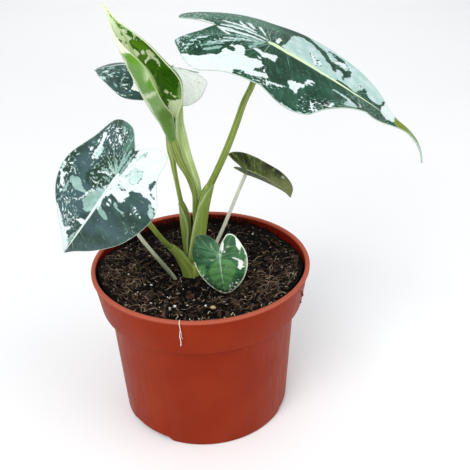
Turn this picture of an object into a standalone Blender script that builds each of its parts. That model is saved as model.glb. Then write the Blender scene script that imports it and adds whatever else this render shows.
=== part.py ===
"""A variegated alocasia in a nursery pot: pot, soil, crown, seven leaves on their petioles, a spear.

Lengths are in metres and angles in degrees, with +Z up. The origin is the middle of the pot's base,
on the surface that it stands on. Seen along +Y, the largest leaf is on the right.
"""

import math
from dataclasses import dataclass

import bmesh
import bpy
import numpy as np
from mathutils import Vector

# Pot
POT_HEIGHT = 0.0914
RIM_RADIUS = 0.0600
LIP_WIDTH = 0.0024
COLLAR_TOP_RADIUS = 0.0592
COLLAR_FOOT_RADIUS = 0.0562
COLLAR_HEIGHT = 0.0223
BODY_TOP_RADIUS = 0.0517
BODY_FOOT_RADIUS = 0.0478
WALL = 0.0015
FLOOR_RISE = 0.0032
FLOOR_THICKNESS = 0.0018
FOOT_RING_WIDTH = 0.0050
PAD_RADIUS = 0.0140
DRAIN_HOLES = 8
DRAIN_HOLE_RADIUS = 0.0040
DRAIN_HOLE_CIRCLE = 0.0300
NOTCHES = 3
NOTCH_TOP_WIDTH = 0.0260
NOTCH_FOOT_WIDTH = 0.0320
NOTCH_HEIGHT = 0.0029
FIRST_NOTCH = -134.0
POT_STEPS = 60

# Soil
SOIL_LEVEL = 0.0822
SOIL_EDGE_RISE = 0.0045
SOIL_STEPS = 40
HOLLOW_AZIMUTH = 125.0
HOLLOW_DEPTH = 0.0045
LUMPS = 90
LUMP_SEED = 7
GAP = 0.0003

# Stems and blades
BLADE_THICKNESS = 0.0008
STEM_SIDES = 8
SPINE_STEPS = 60
WAVE_STATIONS = (-0.30, 0.0, 0.25, 0.50, 0.75, 1.0)
WIDEST_SHARE = 0.38


# Colour and roughness of each piece
FINISHES = {
    "pot": ((0.40, 0.06, 0.03), 0.45),
    "soil": ((0.015, 0.010, 0.007), 0.95),
    "crown": ((0.24, 0.42, 0.08), 0.45),
    "petiole_right": ((0.28, 0.45, 0.10), 0.40),
    "petiole_left": ((0.28, 0.40, 0.10), 0.40),
    "petiole_back": ((0.25, 0.42, 0.10), 0.40),
    "petiole_young": ((0.35, 0.40, 0.05), 0.40),
    "petiole_side": ((0.60, 0.62, 0.48), 0.45),
    "petiole_front": ((0.30, 0.42, 0.12), 0.45),
    "petiole_low": ((0.50, 0.58, 0.38), 0.45),
    "spear": ((0.55, 0.68, 0.30), 0.45),
    "blade_right": ((0.04, 0.12, 0.07), 0.55),
    "blade_left": ((0.05, 0.13, 0.09), 0.55),
    "blade_back": ((0.06, 0.15, 0.12), 0.55),
    "blade_front": ((0.04, 0.16, 0.05), 0.50),
    "blade_side": ((0.05, 0.07, 0.01), 0.50),
    "blade_low": ((0.05, 0.13, 0.08), 0.55),
    "blade_young": ((0.12, 0.30, 0.03), 0.45),
}


def clear_scene():
    """Removes what the file holds, so that only this plant is left."""
    for obj in list(bpy.data.objects):
        bpy.data.objects.remove(obj, do_unlink=True)


def finish_for(name):
    """The piece's own Principled material."""
    colour, roughness = FINISHES[name]
    material = bpy.data.materials.new(f"{name}_finish")
    material.use_nodes = True
    shader = material.node_tree.nodes["Principled BSDF"]
    shader.inputs["Base Color"].default_value = (*colour, 1.0)
    shader.inputs["Roughness"].default_value = roughness
    material.diffuse_color = (*colour, 1.0)
    return material


def add_object(name, mesh, material=None):
    obj = bpy.data.objects.new(name, mesh)
    bpy.context.scene.collection.objects.link(obj)
    if material:
        mesh.materials.append(material)
    return obj


def mesh_from(name, bm):
    """The bmesh as a mesh with its faces pointing out."""
    bmesh.ops.remove_doubles(bm, verts=bm.verts, dist=1e-6)
    bmesh.ops.recalc_face_normals(bm, faces=bm.faces)
    mesh = bpy.data.meshes.new(name)
    bm.to_mesh(mesh)
    bm.free()
    mesh.shade_smooth()
    mesh.set_sharp_from_angle(angle=math.radians(40))
    return mesh


def combine(obj, others, operation):
    """Applies one Boolean with every object of others, then removes them."""
    group = bpy.data.collections.new(obj.name + "_operands")
    bpy.context.scene.collection.children.link(group)
    for other in others:
        bpy.context.scene.collection.objects.unlink(other)
        group.objects.link(other)
    modifier = obj.modifiers.new("combine", "BOOLEAN")
    modifier.operation = operation
    modifier.operand_type = "COLLECTION"
    modifier.collection = group
    modifier.solver = "EXACT"
    graph = bpy.context.evaluated_depsgraph_get()
    mesh = bpy.data.meshes.new_from_object(obj.evaluated_get(graph))
    obj.modifiers.clear()
    obj.data = mesh
    for other in others:
        bpy.data.objects.remove(other, do_unlink=True)
    bpy.data.collections.remove(group)
    return obj


def smooth_curve(points, steps):
    """A Catmull-Rom curve through the points, with this many steps between neighbours."""
    points = np.asarray(points, float)
    padded = np.vstack([2 * points[0] - points[1], points, 2 * points[-1] - points[-2]])
    share = (np.arange(steps) / steps)[:, None]
    stretches = []
    for before, start, end, after in zip(padded, padded[1:], padded[2:], padded[3:]):
        rise = (end - before) * share
        bend = (2 * before - 5 * start + 4 * end - after) * share**2
        twist = (3 * start - before - 3 * end + after) * share**3
        stretches.append(start + 0.5 * (rise + bend + twist))
    return np.vstack(stretches + [points[-1:]])


def ring_loops(bm, loops, closed_ends=True):
    """Joins equal rings of points with faces and, if asked, caps both ends."""
    rings = [[bm.verts.new(point) for point in loop] for loop in loops]
    for lower, upper in zip(rings, rings[1:]):
        for i in range(len(lower)):
            j = (i + 1) % len(lower)
            bm.faces.new((lower[i], lower[j], upper[j], upper[i]))
    if closed_ends:
        bm.faces.new(rings[0][::-1])
        bm.faces.new(rings[-1])


def tube_mesh(name, stations, steps=3, grow=0.0, sides=STEM_SIDES):
    """A tapered round stem through stations of (x, y, z, radius).

    grow widens it and lengthens both ends, for the hole that the stem stands in.
    """
    curve = smooth_curve(stations, steps)
    points, radii = curve[:, :3].copy(), curve[:, 3] + grow
    tangents = np.gradient(points, axis=0)
    tangents /= np.linalg.norm(tangents, axis=1)[:, None]
    points[0] -= tangents[0] * grow
    points[-1] += tangents[-1] * grow
    across = np.cross(tangents[0], (0.0, 1.0, 0.0))
    loops = []
    for point, tangent, radius in zip(points, tangents, radii):
        across = across - tangent * np.dot(across, tangent)
        across /= np.linalg.norm(across)
        up = np.cross(tangent, across)
        turns = 2 * math.pi * np.arange(sides) / sides
        loops.append([point + radius * (math.cos(a) * across + math.sin(a) * up) for a in turns])
    bm = bmesh.new()
    ring_loops(bm, loops)
    return mesh_from(name, bm)


# The pot


def pot_profile():
    """The pot's section from the middle of its pad, up the outside, over the lip and down the inside."""
    body_top = POT_HEIGHT - COLLAR_HEIGHT
    floor_top = FLOOR_RISE + FLOOR_THICKNESS
    ring_inner = BODY_FOOT_RADIUS - FOOT_RING_WIDTH
    return [
        (0.0, 0.0),
        (PAD_RADIUS, 0.0),
        (PAD_RADIUS + 0.001, FLOOR_RISE),
        (ring_inner - 0.001, FLOOR_RISE),
        (ring_inner, 0.0),
        (BODY_FOOT_RADIUS - 0.0012, 0.0),
        (BODY_FOOT_RADIUS - 0.0003, 0.0005),
        (BODY_FOOT_RADIUS, 0.0014),
        (BODY_TOP_RADIUS, body_top - 0.0010),
        (BODY_TOP_RADIUS + 0.0012, body_top),
        (COLLAR_FOOT_RADIUS - 0.0008, body_top + 0.0003),
        (COLLAR_FOOT_RADIUS, body_top + 0.0012),
        (COLLAR_TOP_RADIUS, POT_HEIGHT - 0.0024),
        (RIM_RADIUS, POT_HEIGHT - 0.0018),
        (RIM_RADIUS, POT_HEIGHT - 0.0007),
        (RIM_RADIUS - 0.0007, POT_HEIGHT),
        (RIM_RADIUS - LIP_WIDTH + 0.0007, POT_HEIGHT),
        (RIM_RADIUS - LIP_WIDTH, POT_HEIGHT - 0.0007),
        (COLLAR_FOOT_RADIUS - WALL, body_top + WALL),
        (BODY_TOP_RADIUS - WALL, body_top + WALL - 0.0005),
        (BODY_FOOT_RADIUS - WALL, floor_top + 0.0010),
        (BODY_FOOT_RADIUS - WALL - 0.0012, floor_top),
        (0.0, floor_top),
    ]


def make_pot():
    bm = bmesh.new()
    outline = [bm.verts.new((radius, 0.0, height)) for radius, height in pot_profile()]
    edges = [bm.edges.new(pair) for pair in zip(outline, outline[1:])]
    bmesh.ops.spin(
        bm,
        geom=outline + edges,
        cent=(0.0, 0.0, 0.0),
        axis=(0.0, 0.0, 1.0),
        angle=2 * math.pi,
        steps=POT_STEPS,
        use_merge=True,
    )
    pot = add_object("pot", mesh_from("pot", bm), finish_for("pot"))
    return combine(pot, drain_cutters(), "DIFFERENCE")


def drain_cutters():
    """Upright pins for the drain holes and lying wedges for the notches under the foot."""
    cutters = []
    for index in range(DRAIN_HOLES):
        turn = math.radians(360 / DRAIN_HOLES * (index + 0.5))
        bm = bmesh.new()
        bmesh.ops.create_cone(
            bm, cap_ends=True, segments=12, radius1=DRAIN_HOLE_RADIUS, radius2=DRAIN_HOLE_RADIUS, depth=0.02
        )
        centre = Vector((math.cos(turn), math.sin(turn), 0.0)) * DRAIN_HOLE_CIRCLE
        bmesh.ops.translate(bm, verts=bm.verts, vec=centre)
        cutters.append(add_object(f"drain_cutter_{index}", mesh_from("drain_cutter", bm)))
    for index in range(NOTCHES):
        turn = math.radians(FIRST_NOTCH + 360 / NOTCHES * index)
        outward = Vector((math.cos(turn), math.sin(turn), 0.0))
        aside = Vector((-outward.y, outward.x, 0.0))
        bm = bmesh.new()
        bmesh.ops.create_cube(bm, size=1.0)
        for vertex in bm.verts:
            width = NOTCH_TOP_WIDTH if vertex.co.z > 0 else NOTCH_FOOT_WIDTH + 0.004
            height = NOTCH_HEIGHT if vertex.co.z > 0 else -0.002
            across, along = vertex.co.y * width, 0.046 + 0.014 * vertex.co.x
            vertex.co = outward * along + aside * across + Vector((0.0, 0.0, height))
        cutters.append(add_object(f"notch_cutter_{index}", mesh_from("notch_cutter", bm)))
    for cutter in cutters:
        cutter.hide_render = True
        cutter.display_type = "WIRE"
    return cutters


# The soil


def soil_lumps():
    """Seeded lumps and dips, as rows of (x, y, width, rise)."""
    draw = np.random.default_rng(LUMP_SEED)
    radius = RIM_RADIUS * np.sqrt(draw.uniform(0.03, 0.85, LUMPS))
    turn = draw.uniform(0, 2 * math.pi, LUMPS)
    width = draw.uniform(0.003, 0.008, LUMPS)
    rise = draw.uniform(-0.0012, 0.0016, LUMPS)
    return np.column_stack((radius * np.cos(turn), radius * np.sin(turn), width, rise))


def soil_height(radius, turn, lumps):
    """Height of the soil: low round the crown, banked up to the wall, with a hollow at the back left."""
    share = radius / RIM_RADIUS
    away = (math.degrees(turn) - HOLLOW_AZIMUTH + 180) % 360 - 180
    hollow = HOLLOW_DEPTH * share**2 * math.exp(-((away / 45) ** 2))
    gaps = np.hypot(lumps[:, 0] - radius * math.cos(turn), lumps[:, 1] - radius * math.sin(turn))
    rough = float(np.sum(lumps[:, 3] * np.exp(-((gaps / lumps[:, 2]) ** 2))))
    return SOIL_LEVEL + SOIL_EDGE_RISE * share**2 - hollow + rough


def make_soil(stems):
    """The soil, which follows the pot's inner wall, with a plain hole for each stem."""
    body_top = POT_HEIGHT - COLLAR_HEIGHT
    floor_top = FLOOR_RISE + FLOOR_THICKNESS
    turns = 2 * math.pi * np.arange(SOIL_STEPS) / SOIL_STEPS
    lumps = soil_lumps()

    def ring(radius, height):
        return [(radius * math.cos(a), radius * math.sin(a), height(radius, a)) for a in turns]

    def level(height):
        return lambda radius, turn: height

    def surface(radius, turn):
        return soil_height(radius, turn, lumps)

    wall_slope = (RIM_RADIUS - LIP_WIDTH - COLLAR_FOOT_RADIUS + WALL) / (COLLAR_HEIGHT - WALL)
    edge = COLLAR_FOOT_RADIUS - WALL - 2 * GAP + wall_slope * 0.0145
    loops = [
        ring(0.02, level(floor_top + GAP)),
        ring(BODY_FOOT_RADIUS - WALL - 0.0012 - GAP, level(floor_top + GAP)),
        ring(BODY_FOOT_RADIUS - WALL - 2 * GAP, level(floor_top + 0.0010 + GAP)),
        ring(BODY_TOP_RADIUS - WALL - 2 * GAP, level(body_top + WALL - 0.0002)),
        ring(COLLAR_FOOT_RADIUS - WALL - 2 * GAP, level(body_top + WALL + 2 * GAP)),
    ]
    loops += [ring(edge * share, surface) for share in (1.0, 0.93, 0.8, 0.65, 0.5, 0.35, 0.2, 0.08)]
    bm = bmesh.new()
    ring_loops(bm, loops)
    soil = add_object("soil", mesh_from("soil", bm), finish_for("soil"))
    return combine(soil, stems, "DIFFERENCE")


# Stems, as stations of (x, y, z, radius)

CROWN_PARTS = {
    "stump": [
        (-0.0053, 0.0000, 0.064, 0.0040),
        (-0.0053, 0.0000, 0.076, 0.0044),
        (-0.0050, 0.0000, 0.086, 0.0041),
    ],
    "right_sheath": [
        (-0.0046, 0.0008, 0.076, 0.0036),
        (-0.0030, 0.0012, 0.092, 0.0039),
        (-0.0005, 0.0015, 0.107, 0.0038),
        (0.0020, 0.0016, 0.121, 0.0035),
        (0.0034, 0.0014, 0.127, 0.0032),
        (0.0052, 0.0009, 0.1325, 0.0027),
        (0.0068, 0.0005, 0.1358, 0.0020),
    ],
    "left_sheath": [
        (-0.0060, -0.0005, 0.076, 0.0036),
        (-0.0075, -0.0015, 0.087, 0.0036),
        (-0.0097, -0.0025, 0.093, 0.0032),
        (-0.0119, -0.0040, 0.098, 0.0027),
        (-0.0143, -0.0060, 0.102, 0.0022),
        (-0.0160, -0.0080, 0.105, 0.0017),
    ],
    "back_sheath": [
        (-0.0058, 0.0025, 0.078, 0.0028),
        (-0.0068, 0.0040, 0.094, 0.0018),
        (-0.0070, 0.0045, 0.102, 0.0021),
        (-0.0069, 0.0052, 0.109, 0.0026),
        (-0.0071, 0.0062, 0.115, 0.0027),
        (-0.0079, 0.0070, 0.120, 0.0020),
        (-0.0088, 0.0077, 0.123, 0.0015),
    ],
}

PETIOLES = {
    "petiole_right": [
        (0.0060, 0.0008, 0.134, 0.0020),
        (0.0097, -0.0002, 0.142, 0.0018),
        (0.0152, -0.0025, 0.155, 0.0018),
        (0.0204, -0.0045, 0.169, 0.0017),
        (0.0247, -0.0065, 0.182, 0.0016),
        (0.0284, -0.0075, 0.190, 0.0015),
        (0.0318, -0.0080, 0.199, 0.0015),
        (0.0365, -0.0075, 0.2081, 0.0015),
    ],
    "petiole_left": [
        (-0.0154, -0.0070, 0.104, 0.0015),
        (-0.0174, -0.0120, 0.109, 0.0014),
        (-0.0208, -0.0220, 0.120, 0.0013),
        (-0.0240, -0.0310, 0.131, 0.0013),
        (-0.0274, -0.0375, 0.141, 0.0013),
        (-0.0322, -0.0405, 0.155, 0.0013),
        (-0.0345, -0.0432, 0.1624, 0.0013),
    ],
    "petiole_back": [
        (-0.0083, 0.0072, 0.1215, 0.0015),
        (-0.0092, 0.0082, 0.1245, 0.0013),
        (-0.0107, 0.0120, 0.133, 0.0012),
        (-0.0118, 0.0150, 0.139, 0.0013),
        (-0.0130, 0.0180, 0.144, 0.0013),
        (-0.0148, 0.0220, 0.150, 0.0013),
        (-0.0146, 0.0300, 0.166, 0.0012),
        (-0.0106, 0.0389, 0.1859, 0.0012),
    ],
    "petiole_young": [
        (-0.0016, 0.0012, 0.112, 0.0015),
        (-0.0021, 0.0010, 0.121, 0.0015),
        (-0.0020, 0.0002, 0.130, 0.0014),
        (-0.0032, 0.0000, 0.135, 0.0014),
        (-0.0046, 0.0000, 0.139, 0.0014),
        (-0.0067, 0.0000, 0.144, 0.0014),
        (-0.0088, 0.0000, 0.149, 0.0014),
        (-0.0102, 0.0000, 0.154, 0.0014),
        (-0.0112, 0.0000, 0.1612, 0.0015),
    ],
    "petiole_side": [
        (0.0030, 0.0122, 0.072, 0.0012),
        (0.0045, 0.0118, 0.083, 0.0012),
        (0.0082, 0.0110, 0.093, 0.0011),
        (0.0136, 0.0096, 0.106, 0.0010),
        (0.0224, 0.0060, 0.130, 0.0010),
        (0.0261, 0.0042, 0.1399, 0.0010),
    ],
    "petiole_front": [
        (0.0062, -0.0080, 0.072, 0.0012),
        (0.0066, -0.0085, 0.084, 0.0012),
        (0.0076, -0.0130, 0.098, 0.0011),
        (0.0090, -0.0240, 0.110, 0.0010),
        (0.0098, -0.0347, 0.1146, 0.0010),
    ],
    "petiole_low": [
        (-0.0125, -0.0020, 0.072, 0.0012),
        (-0.0147, -0.0050, 0.083, 0.0011),
        (-0.0200, -0.0130, 0.097, 0.0011),
        (-0.0253, -0.0200, 0.110, 0.0010),
        (-0.0303, -0.0250, 0.122, 0.0010),
        (-0.0340, -0.0255, 0.132, 0.0010),
        (-0.0358, -0.0218, 0.1415, 0.0010),
    ],
}

SPEAR = [
    (0.0020, 0.0035, 0.1215, 0.0010),
    (0.0010, 0.0040, 0.131, 0.0014),
    (-0.0004, 0.0050, 0.137, 0.0021),
    (-0.0031, 0.0065, 0.144, 0.0028),
    (-0.0054, 0.0080, 0.151, 0.0033),
    (-0.0067, 0.0090, 0.1595, 0.0031),
    (-0.0072, 0.0105, 0.167, 0.0022),
    (-0.0064, 0.0120, 0.1725, 0.0013),
    (-0.0055, 0.0130, 0.177, 0.0004),
]

STEMS_IN_CROWN = ("petiole_right", "petiole_left", "petiole_back", "petiole_young")
STEMS_IN_SOIL = ("petiole_side", "petiole_front", "petiole_low")


def crown_shape(name, grow=0.0):
    """The short stem and the sheaths that leave it, joined in one body."""
    parts = [
        add_object(f"{name}_{part}", tube_mesh(part, stations, grow=grow, sides=10))
        for part, stations in CROWN_PARTS.items()
    ]
    crown = parts[0]
    crown.name = name
    return combine(crown, parts[1:], "UNION")


def make_stems():
    """Crown, petioles and spear, each stem cut clear of the crown that it comes out of."""
    crown = crown_shape("crown")
    crown.data.materials.clear()
    crown.data.materials.append(finish_for("crown"))
    for name, stations in PETIOLES.items():
        stem = add_object(name, tube_mesh(name, stations), finish_for(name))
        if name in STEMS_IN_CROWN:
            combine(stem, [crown_shape(f"{name}_seat", grow=GAP)], "DIFFERENCE")
    spear = add_object("spear", tube_mesh("spear", SPEAR), finish_for("spear"))
    combine(spear, [crown_shape("spear_seat", grow=GAP)], "DIFFERENCE")


def soil_cutters():
    """The holes that the crown and the small leaves' petioles stand in."""
    cutters = [crown_shape("crown_hole", grow=GAP)]
    for name in STEMS_IN_SOIL:
        cutters.append(add_object(f"{name}_hole", tube_mesh(name, PETIOLES[name], grow=GAP)))
    return cutters


# Blades


def turned(first, second, angle):
    """Turns the first axis towards the second, and the second away from the first."""
    return (
        first * math.cos(angle) + second * math.sin(angle),
        second * math.cos(angle) - first * math.sin(angle),
    )


@dataclass(frozen=True)
class Blade:
    """An arrow-shaped blade, drawn flat and then bent.

    The outlines run from the sinus to the tip, as shares of the length from the junction to the
    tip: x along the midrib and y out from it. heading turns from +X towards +Y, pitch lifts the tip
    and roll turns the blade about its midrib. droop bends the midrib down over its length, curl_tip
    over its last quarter and lobe_droop behind the junction. fold is each half's slope from the
    midrib, and curl how much that slope changes over a width as great as the length. wave lifts
    each margin by so much at WAVE_STATIONS. rib is the thickness at the midrib.
    """

    name: str
    length: float
    junction: tuple
    heading: float
    pitch: float
    roll: float
    droop: float
    curl_tip: float
    sweep: float
    twist: float
    lobe_droop: float
    fold: tuple
    curl: tuple
    sinus: float
    left: tuple
    right: tuple
    wave: tuple = ((0.0,) * 6, (0.0,) * 6)
    rib: float = 0.0018
    rows: int = 20
    columns: int = 4

    def start_frame(self):
        """Unit vectors at the junction: along the midrib, to its left, and up from the blade."""
        a, p, r = np.radians((self.heading, self.pitch, self.roll))
        along = np.array((math.cos(a) * math.cos(p), math.sin(a) * math.cos(p), math.sin(p)))
        flat_left = np.array((-math.sin(a), math.cos(a), 0.0))
        flat_up = np.cross(along, flat_left)
        left = math.cos(r) * flat_left + math.sin(r) * np.cross(along, flat_left)
        up = math.cos(r) * flat_up + math.sin(r) * np.cross(along, flat_up)
        return along, left, up

    def spine(self, direction):
        """Points and frames along the midrib, forwards (1) or back through the lobes (-1)."""
        along, left, up = self.start_frame()
        reach = self.length if direction > 0 else 0.7 * self.length
        point = np.array(self.junction, float)
        stations = [(point, along, left, up)]
        for index in range(SPINE_STEPS):
            late = (index + 0.5) / SPINE_STEPS > 0.75
            bend = self.lobe_droop if direction < 0 else self.droop + (4 * self.curl_tip if late else 0.0)
            sweep, twist = (self.sweep, self.twist) if direction > 0 else (0.0, 0.0)
            down, aside, over = np.radians((bend, sweep, twist)) / SPINE_STEPS
            along, up = turned(along, up, -direction * down)
            along, left = turned(along, left, aside)
            left, up = turned(left, up, over)
            point = point + direction * along * reach / SPINE_STEPS
            stations.append((point, along, left, up))
        return reach, stations

    def place(self, flat, side):
        """Bends flat points of one half, side 1 for the left and -1 for the right, into place."""
        fold = math.radians(self.fold[0 if side > 0 else 1])
        curl = math.radians(self.curl[0 if side > 0 else 1]) / self.length or 1e-6
        wave = self.wave[0 if side > 0 else 1]
        spines = {1: self.spine(1), -1: self.spine(-1)}
        placed = []
        for x, y in flat:
            reach, stations = spines[1 if x >= 0 else -1]
            position = min(abs(x) / reach, 1.0) * SPINE_STEPS
            index = min(int(position), SPINE_STEPS - 1)
            share = position - index
            point, _, left, up = (
                a * (1 - share) + b * share for a, b in zip(stations[index], stations[index + 1])
            )
            out = (math.sin(fold + curl * y) - math.sin(fold)) / curl
            lift = -(math.cos(fold + curl * y) - math.cos(fold)) / curl
            ripple = np.interp(x / self.length, WAVE_STATIONS, wave)
            lift += ripple * (y / (WIDEST_SHARE * self.length)) ** 2
            placed.append(point + side * left * out + up * lift)
        return placed

    def flat_half(self, outline):
        """Rows of flat points that fan out from the junction and then leave the midrib in turn."""
        corners = [(-self.sinus, 0.0), *outline, (1.0, 0.0)]
        steps = 8
        margin = smooth_curve(corners, steps) * self.length
        fan_end = 0.5
        rows = []
        for row in range(self.rows + 1):
            share = row / self.rows
            end = margin[round(share * (len(margin) - 1))]
            along = self.length * max(0.0, (share - fan_end) / (1 - fan_end))
            start = np.array((along, 0.0))
            shares = np.linspace(0, 1, self.columns + 1)[:, None]
            points = start + (end - start) * shares
            points[:, 1] = np.maximum(points[:, 1], 0.0)
            rows.append(points)
        return rows

    def make(self):
        """The blade: a sheet of triangles, thick at the midrib and grown downwards from its face."""
        bm = bmesh.new()
        for side, outline in ((1, self.left), (-1, self.right)):
            rows = [
                [bm.verts.new(point) for point in self.place(points, side)]
                for points in self.flat_half(outline)
            ]
            for near, far in zip(rows, rows[1:]):
                for i in range(self.columns):
                    first, second = (near[i], near[i + 1], far[i + 1]), (near[i], far[i + 1], far[i])
                    for corners in (first, second):
                        bm.faces.new(corners[::-side])
        bmesh.ops.remove_doubles(bm, verts=bm.verts, dist=1e-5)
        bmesh.ops.dissolve_degenerate(bm, edges=bm.edges, dist=1e-5)
        mesh = bpy.data.meshes.new(self.name)
        bm.to_mesh(mesh)
        bm.free()
        mesh.shade_smooth()
        blade = add_object(self.name, mesh, finish_for(self.name))
        rib = blade.vertex_groups.new(name="rib")
        midrib = self.place([(x, 0.0) for x in np.linspace(0, 0.96 * self.length, 60)], 1)
        for vertex in mesh.vertices:
            gaps = [np.linalg.norm(np.array(vertex.co) - point) for point in midrib]
            nearest = int(np.argmin(gaps))
            if gaps[nearest] < 0.0012:
                rib.add([vertex.index], 1 - 0.9 * nearest / len(midrib), "REPLACE")
        solidify = blade.modifiers.new("thickness", "SOLIDIFY")
        solidify.thickness = self.rib
        solidify.offset = -1.0
        solidify.vertex_group = "rib"
        solidify.thickness_vertex_group = BLADE_THICKNESS / self.rib
        return blade


BLADES = (
    Blade(
        name="blade_left",
        length=0.0573,
        junction=(-0.0355, -0.0460, 0.1635),
        heading=188,
        pitch=-52,
        roll=-58,
        droop=34,
        curl_tip=1,
        sweep=-10,
        twist=-2,
        lobe_droop=22,
        fold=(-5, 7),
        curl=(-10, -6),
        sinus=0.25,
        left=(
            (-0.31, 0.06), (-0.37, 0.14), (-0.35, 0.24), (-0.16, 0.28), (0.07, 0.42),
            (0.40, 0.36), (0.67, 0.21), (0.86, 0.07),
        ),
        right=(
            (-0.30, 0.04), (-0.38, 0.13), (-0.35, 0.26), (-0.15, 0.32), (0.12, 0.41),
            (0.39, 0.37), (0.66, 0.20), (0.85, 0.07),
        ),
        rows=22,
        columns=4,
    ),
    Blade(
        name="blade_right",
        length=0.1048,
        junction=(0.0379, -0.0080, 0.2108),
        heading=-5,
        pitch=-30,
        roll=8,
        droop=9,
        curl_tip=44,
        sweep=4,
        twist=10,
        lobe_droop=58,
        fold=(4, -7),
        curl=(-14, -11),
        sinus=0.26,
        left=(
            (-0.34, 0.04), (-0.445, 0.115), (-0.36, 0.31), (-0.14, 0.32), (0.11, 0.345),
            (0.33, 0.27), (0.575, 0.155), (0.69, 0.03), (0.85, 0.010),
        ),
        right=(
            (-0.34, 0.075), (-0.44, 0.09), (-0.34, 0.30), (-0.155, 0.33), (0.11, 0.375),
            (0.32, 0.26), (0.56, 0.12), (0.71, 0.04), (0.85, 0.012),
        ),
        wave=((-0.0105, -0.0055, -0.001, 0.0045, 0.001, 0.0), (-0.005, 0.001, -0.004, 0.029, 0.0, 0.0)),
        rib=0.0024,
        rows=30,
        columns=5,
    ),
    Blade(
        name="blade_back",
        length=0.0425,
        junction=(-0.0092, 0.0379, 0.1891),
        heading=197,
        pitch=18,
        roll=-23,
        droop=31,
        curl_tip=8,
        sweep=1,
        twist=-6,
        lobe_droop=-2,
        fold=(-36, -36),
        curl=(-11, -7),
        sinus=0.07,
        left=(
            (-0.30, 0.012), (-0.45, 0.035), (-0.465, 0.14), (-0.37, 0.36), (-0.16, 0.48),
            (0.10, 0.42), (0.38, 0.46), (0.72, 0.40), (0.94, 0.15),
        ),
        right=(
            (-0.26, 0.02), (-0.40, 0.14), (-0.36, 0.35), (-0.16, 0.47), (0.10, 0.39),
            (0.38, 0.44), (0.71, 0.38), (0.93, 0.14),
        ),
        rows=18,
        columns=4,
    ),
    Blade(
        name="blade_front",
        length=0.0290,
        junction=(0.0094, -0.0371, 0.1143),
        heading=257,
        pitch=-100,
        roll=-1,
        droop=16,
        curl_tip=1,
        sweep=2,
        twist=0,
        lobe_droop=11,
        fold=(7, 9),
        curl=(-10, -10),
        sinus=0.075,
        left=(
            (-0.22, 0.03), (-0.415, 0.06), (-0.47, 0.26), (-0.17, 0.45), (0.115, 0.48),
            (0.415, 0.415), (0.69, 0.285), (0.92, 0.12),
        ),
        right=(
            (-0.23, 0.015), (-0.41, 0.145), (-0.43, 0.355), (-0.175, 0.45), (0.09, 0.45),
            (0.415, 0.375), (0.67, 0.265), (0.915, 0.11),
        ),
        rib=0.0015,
        rows=16,
        columns=3,
    ),
    Blade(
        name="blade_side",
        length=0.0302,
        junction=(0.0270, 0.0041, 0.1420),
        heading=8,
        pitch=-27,
        roll=5,
        droop=17,
        curl_tip=12,
        sweep=-5,
        twist=3,
        lobe_droop=3,
        fold=(33, 13),
        curl=(-7, -14),
        sinus=0.10,
        left=(
            (-0.22, 0.07), (-0.40, 0.13), (-0.34, 0.24), (-0.14, 0.32), (0.09, 0.33),
            (0.38, 0.31), (0.67, 0.30), (0.94, 0.20),
        ),
        right=(
            (-0.22, 0.07), (-0.32, 0.18), (-0.30, 0.23), (-0.15, 0.36), (0.09, 0.35),
            (0.38, 0.31), (0.65, 0.22), (0.90, 0.15),
        ),
        rows=16,
        columns=3,
    ),
    Blade(
        name="blade_low",
        length=0.0200,
        junction=(-0.0370, -0.0212, 0.1436),
        heading=165,
        pitch=-40,
        roll=-20,
        droop=20,
        curl_tip=5,
        sweep=0,
        twist=0,
        lobe_droop=10,
        fold=(6, 6),
        curl=(-8, -8),
        sinus=0.12,
        left=(
            (-0.24, 0.04), (-0.38, 0.13), (-0.34, 0.26), (-0.15, 0.33), (0.10, 0.37),
            (0.39, 0.32), (0.66, 0.20), (0.88, 0.08),
        ),
        right=(
            (-0.24, 0.04), (-0.38, 0.13), (-0.34, 0.26), (-0.15, 0.33), (0.10, 0.37),
            (0.39, 0.32), (0.66, 0.20), (0.88, 0.08),
        ),
        rows=14,
        columns=3,
    ),
)

# The unrolling leaf: level sections of (height, x of the middle, half width, start and end of the
# roll). The angles turn from +X towards the front, and the roll opens to the front right.
YOUNG_SECTIONS = (
    (0.1620, -0.0113, 0.0021, 25, 360),
    (0.1705, -0.0128, 0.0041, 36, 365),
    (0.1750, -0.0137, 0.0057, 48, 370),
    (0.1830, -0.0141, 0.0093, 85, 375),
    (0.1935, -0.0164, 0.0113, 97, 375),
    (0.2035, -0.0222, 0.0094, 91, 370),
    (0.2130, -0.0280, 0.0068, 125, 365),
    (0.2225, -0.0348, 0.0022, 170, 360),
    (0.2305, -0.0384, 0.0004, 180, 360),
)
YOUNG_LEAN = -0.003
YOUNG_DEPTH = 0.85
YOUNG_STEPS = 16


def make_young_blade():
    """The unrolling leaf, a thin scroll with open C-shaped sections."""
    sections = smooth_curve(YOUNG_SECTIONS, 2)
    base, top = sections[0][0], sections[-1][0]
    loops = []
    for height, middle, half, start, end in sections:
        lean = YOUNG_LEAN * (height - base) / (top - base)
        inner = half - min(BLADE_THICKNESS, 0.55 * half)
        turns = np.radians(np.linspace(start, end, YOUNG_STEPS + 1))

        def arc(radius, angles):
            return [
                (middle + radius * math.cos(a), lean - YOUNG_DEPTH * radius * math.sin(a), height)
                for a in angles
            ]

        loops.append(arc(half, turns) + arc(inner, turns[::-1]))
    bm = bmesh.new()
    rings = [[bm.verts.new(point) for point in loop] for loop in loops]
    for lower, upper in zip(rings, rings[1:]):
        for i in range(len(lower)):
            j = (i + 1) % len(lower)
            bm.faces.new((lower[i], lower[j], upper[j]))
            bm.faces.new((lower[i], upper[j], upper[i]))
    for ring in (rings[0], rings[-1]):
        for i in range(YOUNG_STEPS):
            bm.faces.new((ring[i], ring[i + 1], ring[-2 - i], ring[-1 - i]))
    return add_object("blade_young", mesh_from("blade_young", bm), finish_for("blade_young"))


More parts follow.
